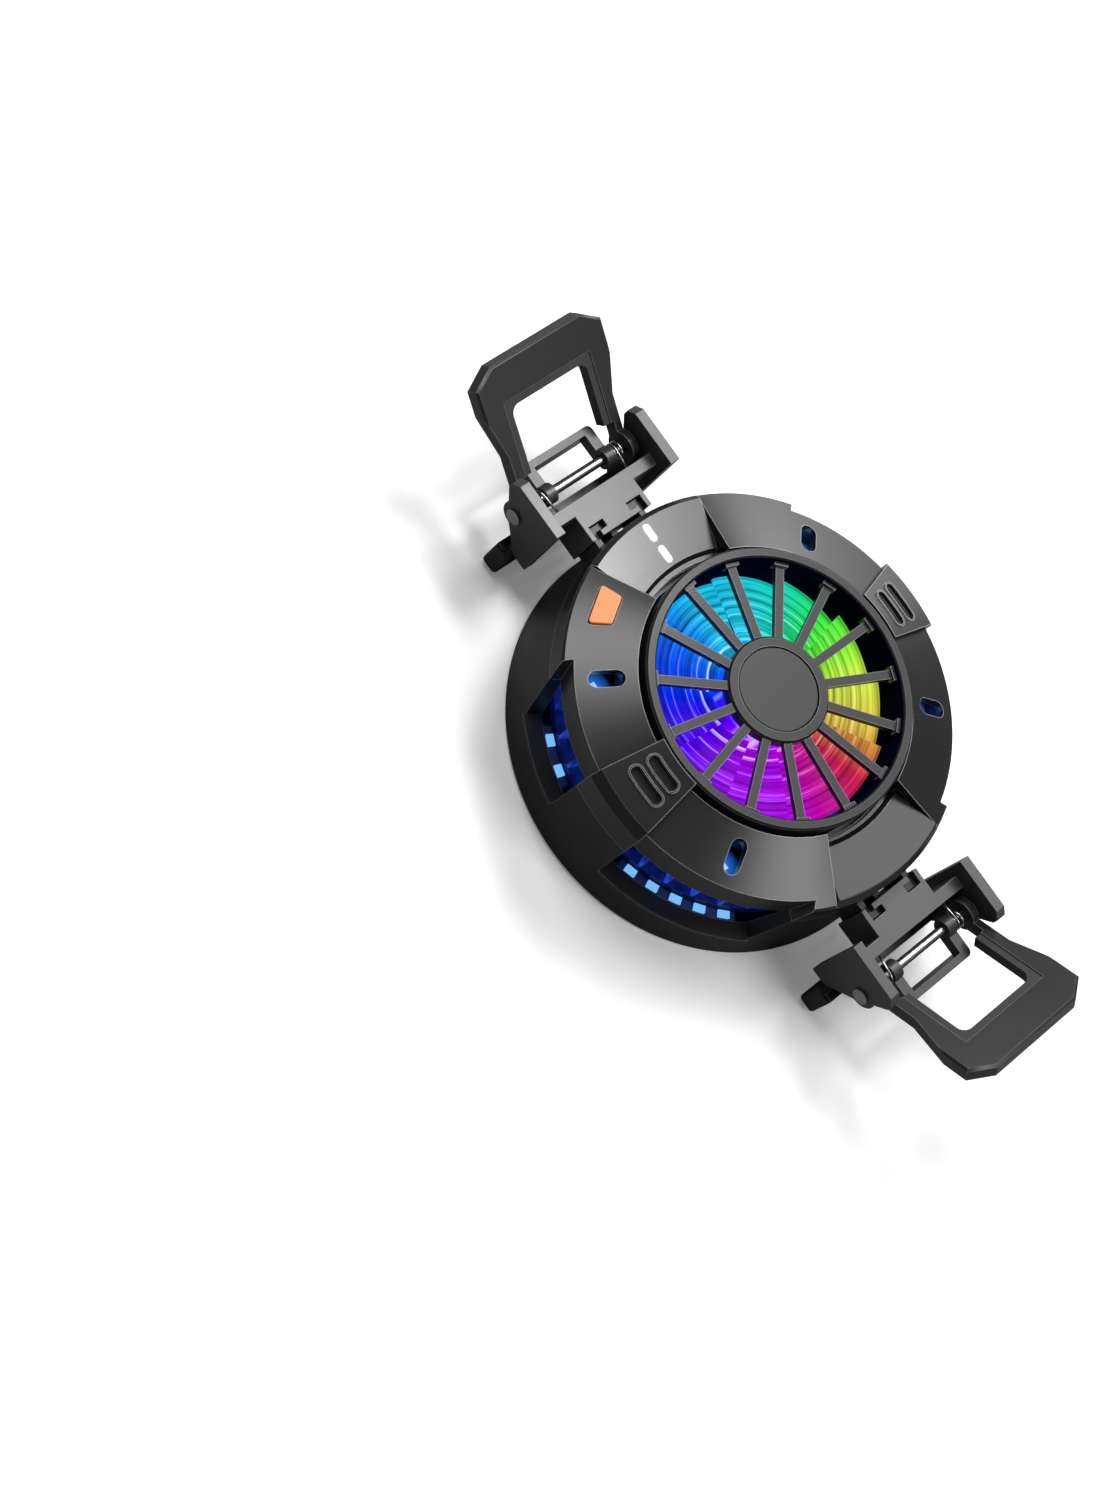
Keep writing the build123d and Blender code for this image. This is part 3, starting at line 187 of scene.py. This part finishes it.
def painted_edge_highlight():
    """Node group: mask of the edges, where the colour is lifted as a painted highlight."""
    group, entry, leave = new_group("Painted Edge Highlight", {"Radius": HIGHLIGHT_RADIUS * MM}, ("Mask",))
    radius = {"Radius": entry.outputs["Radius"]}
    rounded = new_node(group, "ShaderNodeBevel", radius, samples=HIGHLIGHT_SAMPLES).outputs["Normal"]
    plain = new_node(group, "ShaderNodeNewGeometry", {}).outputs["Normal"]
    across = vector_maths(group, "DOT_PRODUCT", rounded, plain, result="Value")
    fill(group, leave.inputs["Mask"], mapped(group, across, HIGHLIGHT_START, HIGHLIGHT_FULL))
    return group


GRAIN_GROUP = moulded_grain()
EDGE_HIGHLIGHT_GROUP = painted_edge_highlight()


def new_material(name):
    """An empty node material."""
    material = bpy.data.materials.new(name)
    material.use_nodes = True
    return material


def finish(material, values):
    """Fill inputs of a material's Principled shader."""
    shader = material.node_tree.nodes["Principled BSDF"]
    for name, source in values.items():
        fill(material.node_tree, shader.inputs[name], source)


def shade(color, factor=1.0, lift=0.0):
    """A colour made darker or lighter, with full opacity."""
    return [min(1.0, c * factor + lift) for c in color] + [1.0]


def moulded(
    name, color, roughness, variation=0.12, bump=0.02, grain=GRAIN_SCALE,
    metallic=0.0, shine=0.5, edge_highlight=0.0,
):
    """Moulded or coated surface: clouded colour and roughness, fine grain, painted highlight on edges."""
    material = new_material(name)
    tree = material.node_tree
    less, more = 1 - variation, 1 + variation
    surface = new_node(tree, "ShaderNodeGroup", {"Grain Scale": grain}, node_tree=GRAIN_GROUP)
    tone = surface.outputs["Tone"]
    tint = mixed(tree, tone, shade(color, less), shade(color, more))
    # Painted highlight: the edge mask lifts the colour paler along the edges.
    highlight_mask = new_node(tree, "ShaderNodeGroup", {}, node_tree=EDGE_HIGHLIGHT_GROUP).outputs["Mask"]
    height = surface.outputs["Height"]
    relief = {"Strength": bump, "Distance": GRAIN_HEIGHT * MM, "Height": height}
    finish(material, {
        "Base Color": mixed(tree, highlight_mask, tint, shade(color, lift=edge_highlight)),
        "Roughness": mapped(tree, tone, 0.0, 1.0, roughness * less, roughness * more),
        "Normal": new_node(tree, "ShaderNodeBump", relief).outputs["Normal"],
        "Metallic": metallic,
        "Specular IOR Level": shine,
    })
    return material


def coat(item, material):
    """Put one material in all the slots of an object."""
    for place in item.material_slots:
        place.material = material


def paint(material, *names):
    """Give CAD nodes a material."""
    for name in names:
        coat(frame["nodes"][name], material)


paint(moulded("Pad Silicone", (0.028, 0.028, 0.03), 0.62, bump=0.25, grain=1800.0), "cover_ring")
paint(
    moulded("Contact Silicone", (0.3, 0.32, 0.35), 0.55, bump=0.2, grain=1500.0),
    "contact_pad",
)

# Cooling stack inside: nickel-plated magnets, aluminium plate, white ceramic
# module and its foam gasket. They are pressed together under the heat sink
# and show only where the vents let the eye in.
paint(moulded("Magnet Plating", (0.6, 0.6, 0.61), 0.28, metallic=1.0), "magnet_ring")
paint(moulded("Cold Plate", (0.78, 0.79, 0.8), 0.3, metallic=1.0), "cold_plate")
paint(moulded("Module Ceramic", (0.8, 0.8, 0.78), 0.6), "peltier_module")
paint(moulded("Gasket Foam", (0.02, 0.02, 0.022), 0.9, bump=0.5, grain=1200.0), "foam_gasket")

# Base shell: black moulded plastic with a satin skin, the four side vents,
# and the L-shaped ears at the clip ends. Every outer edge has the small round
# that a mould leaves.
WELD = 0.002
FLAT_ANGLE = radians(0.1)
SHARP_ANGLE = radians(28)
SLOPE_SLACK = 0.03
SKEW_SLACK = 0.05
FLATS_WEIGHT = 100


def copy_node(name):
    """A copy of a CAD node, selected and active."""
    node = frame["nodes"][name]
    bpy.ops.object.select_all(action="DESELECT")
    node.select_set(True)
    bpy.context.view_layer.objects.active = node
    bpy.ops.object.duplicate()
    return bpy.context.view_layer.objects.active


def weld_all():
    """Join the doubled points of the mesh in edit mode."""
    bpy.ops.mesh.select_all(action="SELECT")
    bpy.ops.mesh.remove_doubles(threshold=WELD * MM)


def true_cone(shape, slope):
    """Point the normals of a cone's faces as the unbroken cone's would."""
    normals = [corner.vector.copy() for corner in shape.corner_normals]
    upright = sqrt(1 - slope * slope)
    for face in shape.polygons:
        away = face.center.xy.normalized()
        lean = face.normal.xy.dot(away)
        skew = face.normal.xy.dot(away.orthogonal())
        if face.normal.z < 0 or abs(lean - slope) > SLOPE_SLACK or abs(skew) > SKEW_SLACK:
            continue
        for corner in face.loop_indices:
            point = shape.vertices[shape.loops[corner].vertex_index].co
            out = point.xy.normalized() * slope
            normals[corner] = Vector((out.x, out.y, upright))
    shape.normals_split_custom_set(normals)


def soften(name, width, material, segments=2, slope=None):
    """A copy of a CAD node with its edges rounded, shown in its place."""
    node = frame["nodes"][name]
    owner = body_of(node)[0]
    piece = copy_node(name)
    piece.name = f"{name}_finished"
    bpy.ops.object.mode_set(mode="EDIT")
    weld_all()
    bpy.ops.mesh.dissolve_limited(angle_limit=FLAT_ANGLE)
    bpy.ops.object.mode_set(mode="OBJECT")
    bpy.ops.object.shade_smooth_by_angle(angle=SHARP_ANGLE)
    rounding = piece.modifiers.new("Rounding", "BEVEL")
    rounding.width = width * MM
    rounding.segments = segments
    rounding.limit_method = "ANGLE"
    rounding.angle_limit = SHARP_ANGLE
    rounding.use_clamp_overlap = True
    bpy.ops.object.modifier_apply(modifier="Rounding")
    flats = piece.modifiers.new("Flats", "WEIGHTED_NORMAL")
    flats.weight = FLATS_WEIGHT
    flats.keep_sharp = True
    bpy.ops.object.modifier_apply(modifier="Flats")
    if slope is not None:
        true_cone(piece.data, slope)
    coat(piece, material)
    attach(piece, owner)
    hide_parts(name)


# The housing's edges carry a painted highlight.
HOUSING_PLASTIC = moulded(
    "Housing Plastic", (0.014, 0.014, 0.015), 0.36, bump=0.05, shine=0.36, edge_highlight=0.2
)
soften("base_shell", 0.18, HOUSING_PLASTIC)

# Heat sink: aluminium base with forty thin skived fins. The blue light that the
# strips behind the vents throw on it is painted light: the fins give it off
# themselves. The blue starts at the foot of the fins and fades upwards, broken
# into patches as light among fins is.
GLOW_FOOT = 7.6
GLOW_FULL = 8.2
GLOW_TOP = 14.5
GLOW_AT_FOOT = 0.06
GLOW_AT_TOP = 0.1
PATCH_SCALE = 260.0
PATCH_DARK = 0.35
PATCH_LIGHT = 0.65
PATCH_LEAST = 0.1


def sink_material():
    """Aluminium that gives off a patchy blue glow, painted light from the strips, fading upwards from its
    foot.
    """
    material = new_material("Sink Aluminium")
    tree = material.node_tree
    place = object_place(tree)
    level = along_axes(tree, place)["Z"]
    rise = mapped(tree, level, GLOW_FOOT * MM, GLOW_FULL * MM, first=GLOW_AT_FOOT)
    fall = mapped(tree, level, GLOW_FULL * MM, GLOW_TOP * MM, first=1.0, last=GLOW_AT_TOP)
    spots = noise(tree, place, PATCH_SCALE)
    patches = mapped(tree, spots, PATCH_DARK, PATCH_LIGHT, first=PATCH_LEAST)
    power = maths(tree, "MULTIPLY", maths(tree, "MULTIPLY", fall, rise), patches)
    finish(material, {
        "Base Color": (0.01, 0.015, 0.06, 1),
        "Metallic": 0.6,
        "Roughness": 0.4,
        "Emission Color": mixed(tree, power, (0.0, 0.0, 0.01, 1), (0.03, 0.10, 1.0, 1)),
        "Emission Strength": 0.55,
    })
    return material


paint(sink_material(), "heat_sink")

# Light strips behind the vents: a dark carrier with a row of lit chips along
# its upper edge, which show as bright blue spots in the vents. The carrier
# itself gives off a faint painted blue glow.
CHIP_HEIGHT = 0.45


def strip_material():
    """Dark carrier with a faint painted blue glow below, lit chips above a height."""
    material = new_material("Strip Light")
    tree = material.node_tree
    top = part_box("light_strips")[1].z
    level = along_axes(tree, object_place(tree))["Z"]
    above = maths(tree, "GREATER_THAN", level, top - CHIP_HEIGHT * MM)
    finish(material, {
        "Base Color": (0.02, 0.03, 0.1, 1),
        "Emission Color": mixed(tree, above, (0.0, 0.002, 0.02, 1), (0.18, 0.50, 0.95, 1)),
        "Emission Strength": 1.0,
    })
    return material


paint(strip_material(), "light_strips")

# Ring board under the front: dark laminate on the duct's flange, with a pale
# light package below each of the four slots and one below the status lights,
# and the button's switch. Round each light the laminate gives off a painted
# blue glow.
PACKAGE_CLOUDS = 700.0
LIGHT_RADIUS = 26.2
LIGHT_ANGLE = radians(54)
LIGHT_LEVEL = 15.8
HALO_EDGE = 3.4
HALO_CORE = 1.0


def board_material():
    """Dark laminate that gives off a painted blue glow for a little way round each light."""
    material = moulded("Board Laminate", (0.004, 0.006, 0.03), 0.35)
    tree = material.node_tree
    light_x = LIGHT_RADIUS * MM * cos(LIGHT_ANGLE)
    light_y = LIGHT_RADIUS * MM * sin(LIGHT_ANGLE)
    light = (light_x, light_y, LIGHT_LEVEL * MM)
    folded = vector_maths(tree, "ABSOLUTE", object_place(tree))
    away = vector_maths(tree, "DISTANCE", folded, light, result="Value")
    finish(material, {
        "Emission Color": (0.02, 0.16, 0.75, 1),
        "Emission Strength": mapped(tree, away, HALO_EDGE * MM, HALO_CORE * MM),
    })
    return material


def glowing_chip(name, color, strength, body_color):
    """Pale, slightly clouded body that gives off its own colour."""
    material = moulded(name, body_color, 0.3, variation=0.06, grain=1500.0)
    tree = material.node_tree
    clouds = {"Cloud Scale": PACKAGE_CLOUDS}
    tone = new_node(tree, "ShaderNodeGroup", clouds, node_tree=GRAIN_GROUP).outputs["Tone"]
    finish(material, {
        "Emission Color": mixed(tree, tone, shade(color, 0.8), shade(color)),
        "Emission Strength": strength,
    })
    return material


paint(board_material(), "circuit_board")
paint(glowing_chip("Chip Light", (0.35, 0.7, 1.0), 1.0, (0.7, 0.85, 0.95)), "board_lights")
paint(moulded("Switch Plastic", (0.015, 0.015, 0.015), 0.4), "push_switch")

# Fan duct: matt near-black tube that the fan turns in, with the motor's plate,
# bronze sleeve and copper-wound stator at its foot. Its navy tint is painted
# blue light, and it has no sheen.
DUCT_DARK_PAINTED_BLUE = (0.0015, 0.003, 0.018)
paint(moulded("Duct Plastic", DUCT_DARK_PAINTED_BLUE, 0.7, shine=0.0), "fan_duct")
paint(moulded("Sleeve Bronze", (0.6, 0.42, 0.16), 0.35, metallic=1.0), "bearing_sleeve")
paint(moulded("Stator Windings", (0.45, 0.2, 0.09), 0.4, metallic=1.0), "stator")

# Fan: impeller lit in a full circle of colours, which run on as fine rings of
# brighter and darker light, like a turning disc. The colours' places start at
# the plain panel and pass the far grip block, status panel and near block.
FAN_STOPS = (
    (0.00, (0.50, 0.01, 0.22)),
    (0.05, (0.52, 0.01, 0.06)),
    (0.09, (0.55, 0.20, 0.04)),
    (0.13, (0.66, 0.52, 0.06)),
    (0.20, (0.55, 0.78, 0.06)),
    (0.25, (0.16, 0.78, 0.03)),
    (0.30, (0.01, 0.72, 0.06)),
    (0.37, (0.01, 0.60, 0.50)),
    (0.43, (0.01, 0.56, 0.74)),
    (0.50, (0.01, 0.50, 0.84)),
    (0.57, (0.00, 0.12, 0.90)),
    (0.66, (0.00, 0.01, 0.92)),
    (0.74, (0.09, 0.00, 0.88)),
    (0.82, (0.32, 0.00, 0.82)),
    (0.92, (0.38, 0.00, 0.76)),
    (0.97, (0.50, 0.00, 0.36)),
    (1.00, (0.50, 0.01, 0.22)),
)
RING_DRIFT = 0.15
RING_SCALE = 900.0
RING_DETAIL = 6.0
RING_ROUGHNESS = 0.75
DARK_RING = 0.36
BRIGHT_RING = 0.56
WHITE_RING = 0.67
DARKEST = 0.12
WHITE_OUTER_RADIUS = 17.5
WHITE_INNER_RADIUS = 9.0
WHITE_LEAST = 0.04
WHITE_MOST = 0.9


def fan_material():
    """Colour by angle round the axle, brightness by fine rings."""
    material = new_material("Fan Light")
    tree = material.node_tree
    axes = along_axes(tree, object_place(tree))
    angle = maths(tree, "ARCTAN2", axes["Y"], axes["X"])
    ramp = new_node(tree, "ShaderNodeValToRGB", {"Fac": mapped(tree, angle, -pi, pi)})
    while len(ramp.color_ramp.elements) < len(FAN_STOPS):
        ramp.color_ramp.elements.new(0.5)
    for element, (where, color) in zip(ramp.color_ramp.elements, FAN_STOPS):
        element.position = where
        element.color = (*color, 1)

    sides = {"X": axes["X"], "Y": axes["Y"]}
    flat = new_node(tree, "ShaderNodeCombineXYZ", sides).outputs["Vector"]
    reach = vector_maths(tree, "LENGTH", flat, result="Value")
    drift = scaled(tree, vector_maths(tree, "NORMALIZE", flat), RING_DRIFT * MM)
    lift = new_node(tree, "ShaderNodeCombineXYZ", {"Z": reach}).outputs["Vector"]
    rings = vector_maths(tree, "ADD", drift, lift)
    streak = noise(tree, rings, RING_SCALE, RING_DETAIL, RING_ROUGHNESS)

    white = mapped(tree, streak, BRIGHT_RING, WHITE_RING)
    outer, inner = WHITE_OUTER_RADIUS * MM, WHITE_INNER_RADIUS * MM
    near = mapped(tree, reach, outer, inner, WHITE_LEAST, WHITE_MOST)
    amount = maths(tree, "MULTIPLY", white, near)
    lit = mixed(tree, amount, ramp.outputs["Color"], (1, 1, 1, 1))
    dim = mapped(tree, streak, DARK_RING, BRIGHT_RING, first=DARKEST)
    finish(material, {
        "Base Color": (0.003, 0.003, 0.004, 1),
        "Roughness": 0.6,
        "Specular IOR Level": 0.03,
        "Emission Color": scaled(tree, lit, dim),
        "Emission Strength": 1.25,
    })
    return material


paint(fan_material(), "fan_rotor")
paint(moulded("Shaft Steel", (0.5, 0.5, 0.52), 0.25, metallic=1.0), "fan_shaft", "case_screws")
paint(moulded("Rotor Magnet", (0.2, 0.2, 0.2), 0.4, metallic=1.0), "rotor_magnet")

# Front ring, sunken panels and grip blocks: dark gray moulded plastic with a
# soft satin sheen, so the cone shades from light to dark round the fan. The
# seams between them stay open as fine dark lines.
RING_SLOPE = 0.35
BLOCK_SLOPE = 0.33
# The trim's edges carry a painted highlight.
TRIM_PLASTIC = moulded(
    "Trim Plastic", (0.014, 0.014, 0.015), 0.28, bump=0.05, shine=0.52, edge_highlight=0.42
)
soften("front_bezel", 0.18, TRIM_PLASTIC, slope=RING_SLOPE)
soften("status_panel", 0.14, TRIM_PLASTIC)
soften("plain_panel", 0.14, TRIM_PLASTIC)
soften("grip_block_near", 0.16, TRIM_PLASTIC, slope=BLOCK_SLOPE)
soften("grip_block_far", 0.16, TRIM_PLASTIC, slope=BLOCK_SLOPE)

# Status lights: two short white light guides with round ends, moulded into
# the status panel and flush with it.
GUIDE_COLOR = (0.85, 0.85, 0.85)
paint(glowing_chip("Status Light", GUIDE_COLOR, 0.55, GUIDE_COLOR), "status_lights")

# Power button: orange key with soft corners, slightly proud of the cone, with
# smoother rounds than the housing's.
BUTTON_PLASTIC = moulded(
    "Button Plastic", (0.95, 0.27, 0.09), 0.42, variation=0.04, bump=0.03
)
soften("power_button", 0.16, BUTTON_PLASTIC, segments=3)

# Grille: fifteen thin spokes between the rim and the hub ring, moulded in one
# piece, with a plain round cap set into the hub. The rim's inner wall has painted
# shade, and the edges of grille and cap carry a painted highlight.
GRILLE_COLOR = (0.012, 0.012, 0.013)
RIM_WALL_RADIUS = 19.8
RIM_WALL_SLACK = 0.05
GRILLE_SHINE = 0.3


def grille_material():
    """The front's plastic with painted highlights on its edges, and painted shade on the rim's inner wall:
    the duct's colour and no sheen.
    """
    material = moulded("Grille Plastic", GRILLE_COLOR, 0.33, bump=0.05, edge_highlight=0.22)
    tree = material.node_tree
    flat = vector_maths(tree, "MULTIPLY", object_place(tree), (1, 1, 0))
    reach = vector_maths(tree, "LENGTH", flat, result="Value")
    # Painted shade: the rim's inner wall takes the duct's colour and loses its sheen.
    inner = maths(tree, "COMPARE", reach, RIM_WALL_RADIUS * MM, RIM_WALL_SLACK * MM)
    plain = tree.nodes["Principled BSDF"].inputs["Base Color"].links[0].from_socket
    finish(material, {
        "Base Color": mixed(tree, inner, plain, shade(DUCT_DARK_PAINTED_BLUE)),
        "Specular IOR Level": maths(tree, "MULTIPLY_ADD", inner, -GRILLE_SHINE, GRILLE_SHINE),
    })
    return material


# The cap's edges carry a painted highlight.
CAP_PLASTIC = moulded("Cap Plastic", GRILLE_COLOR, 0.33, bump=0.05, shine=0.33, edge_highlight=0.3)
soften("fan_grille", 0.12, grille_material())
soften("hub_cap", 0.1, CAP_PLASTIC)

# Inlet socket: stamped steel shell with its tongue, in the wall of the far
# pillar. It has the thin bright skin of plated sheet.
paint(moulded("Socket Steel", (0.55, 0.55, 0.57), 0.3, metallic=1.0), "inlet_socket")

# Clip modules: gray carriers that slide on the ears, dark sprung arms with a
# looped handle and a rubber-faced jaw, a lock bail on the same axle, and two
# coils of wire each, which twist as the arm opens.
# The edges of carriers, arms and bails carry a painted highlight.
CARRIER_PLASTIC = moulded(
    "Carrier Plastic", (0.05, 0.05, 0.052), 0.33, bump=0.05, edge_highlight=0.34
)
ARM_PLASTIC = moulded("Arm Plastic", (0.015, 0.015, 0.016), 0.33, bump=0.05, edge_highlight=0.24)
BAIL_PLASTIC = moulded("Bail Plastic", (0.022, 0.022, 0.023), 0.33, bump=0.05, edge_highlight=0.2)
LINER_RUBBER = moulded("Liner Rubber", (0.016, 0.016, 0.017), 0.6, bump=0.3, grain=1800.0)
AXLE_STEEL = moulded("Axle Steel", (0.38, 0.38, 0.39), 0.25, metallic=1.0)
WIRE_ANGLE = radians(40)
COIL_START = 7.45
COIL_END = 8.51


def twist_springs(side):
    """The two coils as wire that twists from the carrier's leg to the jaw's."""
    copy_node(f"torsion_springs_{side}")
    bpy.ops.object.parent_clear(type="CLEAR_KEEP_TRANSFORM")
    bpy.ops.object.mode_set(mode="EDIT")
    weld_all()
    bpy.ops.mesh.separate(type="LOOSE")
    bpy.ops.object.mode_set(mode="OBJECT")
    bpy.ops.object.shade_smooth_by_angle(angle=WIRE_ANGLE)
    for piece in bpy.context.selected_objects:
        hand = 1 if piece.data.vertices[0].co.y > 0 else -1
        piece.name = f"torsion_spring_{side}_{'near' if hand > 0 else 'far'}"
        coat(piece, AXLE_STEEL)
        still = (0, hand * COIL_START * MM, 0)
        turned = (0, hand * COIL_END * MM, 0)
        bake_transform(piece, f"carrier_{side}", f"arm_{side}", still, turned)
        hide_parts(f"torsion_springs_{side}")


for side in ("right", "left"):
    soften(f"carrier_{side}", 0.12, CARRIER_PLASTIC)
    soften(f"clamp_arm_{side}", 0.14, ARM_PLASTIC)
    soften(f"lock_bail_{side}", 0.12, BAIL_PLASTIC)
    soften(f"jaw_pad_{side}", 0.1, LINER_RUBBER)
    paint(LINER_RUBBER, f"handle_liner_{side}")
    paint(AXLE_STEEL, f"axle_{side}")
    twist_springs(side)

# Plain floor under the part, far larger than the view: white to the camera,
# gray to the part, so that it gives the walls little light from below.
FLOOR_SIZE = 6.0
FLOOR_DROP = 0.2


def floor_material():
    """Matt surface that looks white but gives back little light."""
    material = new_material("Floor")
    tree = material.node_tree
    seen = new_node(tree, "ShaderNodeLightPath", {}).outputs["Is Camera Ray"]
    finish(material, {
        "Base Color": mixed(tree, seen, (0.3, 0.3, 0.31, 1), (1, 1, 1, 1)),
        "Roughness": 0.9,
        "Specular IOR Level": 0.0,
        "Emission Color": (0.14, 0.14, 0.14, 1),
        "Emission Strength": seen,
    })
    return material


bpy.ops.object.select_all(action="DESELECT")
bpy.ops.mesh.primitive_plane_add(size=FLOOR_SIZE, location=(0, 0, -FLOOR_DROP * MM))
floor = bpy.context.view_layer.objects.active
floor.name = "floor"
floor.data.materials.append(floor_material())

# Studio light: a weak even surround, and soft boxes behind, beside and above
# the part. The small near one makes the bright fade on the status panel.
SKY_STRENGTH = 0.11
world = bpy.data.worlds.new("Studio")
world.use_nodes = True
bpy.context.scene.world = world
sky = world.node_tree.nodes["Background"]
sky.inputs["Color"].default_value = (1, 1, 1, 1)
sky.inputs["Strength"].default_value = SKY_STRENGTH


def soft_box(name, place, target, width, height, power):
    """Rectangular area lamp aimed at a point, in metres and watts."""
    lamp = bpy.data.lights.new(name, "AREA")
    lamp.shape = "RECTANGLE"
    lamp.size = width
    lamp.size_y = height
    lamp.energy = power
    holder = bpy.data.objects.new(name, lamp)
    bpy.context.scene.collection.objects.link(holder)
    holder.location = place
    aim = Vector(target) - Vector(place)
    holder.rotation_euler = aim.to_track_quat("-Z", "Y").to_euler()
    holder.visible_camera = False


BODY = (0, 0, 0.015)
PANEL = (0.031, 0.022, 0.020)
soft_box("Back Box", (0.0, -0.33, 0.50), BODY, 0.42, 0.24, 1.2)
soft_box("Sheen Box", (0.16, -0.27, 0.52), BODY, 0.12, 0.12, 0.8)
soft_box("Far Box", (0.14, -0.52, 0.24), BODY, 0.36, 0.14, 1.0)
soft_box("Left Box", (-0.37, -0.09, 0.46), BODY, 0.2, 0.25, 1.15)
soft_box("Right Box", (0.30, -0.03, 0.52), BODY, 0.2, 0.25, 1.15)
soft_box("Panel Box", (0.0385, -0.045, 0.122), PANEL, 0.02, 0.02, 0.045)

# Camera at the photograph's angle: focal length and image are in pixels of
# the upright frame, the place and the three axes are fitted to the body.
FRAME_WIDTH = 1100
FRAME_HEIGHT = 1500
FOCAL_PIXELS = 3000.0
SENSOR = 36.0
CLIP_NEAR = 0.01
CLIP_FAR = 20.0
CAMERA_PLACE = (0.0020407, 0.2405855, 0.3804510)
CAMERA_RIGHT = Vector((-0.58553430, -0.71061564, 0.39009613))
CAMERA_DOWN = Vector((-0.81030619, 0.49909927, -0.30708923))
CAMERA_FORWARD = Vector((0.02352571, -0.49590859, -0.86805600))
camera_data = bpy.data.cameras.new("Camera")
camera_data.sensor_width = SENSOR
camera_data.lens = SENSOR * FOCAL_PIXELS / max(FRAME_WIDTH, FRAME_HEIGHT)
camera_data.clip_start = CLIP_NEAR
camera_data.clip_end = CLIP_FAR
camera = bpy.data.objects.new("Camera", camera_data)
bpy.context.scene.collection.objects.link(camera)
turn = Matrix((CAMERA_RIGHT, -CAMERA_DOWN, -CAMERA_FORWARD)).transposed().to_4x4()
camera.matrix_world = Matrix.Translation(CAMERA_PLACE) @ turn
bpy.context.scene.camera = camera
bpy.context.scene.view_settings.view_transform = "Standard"
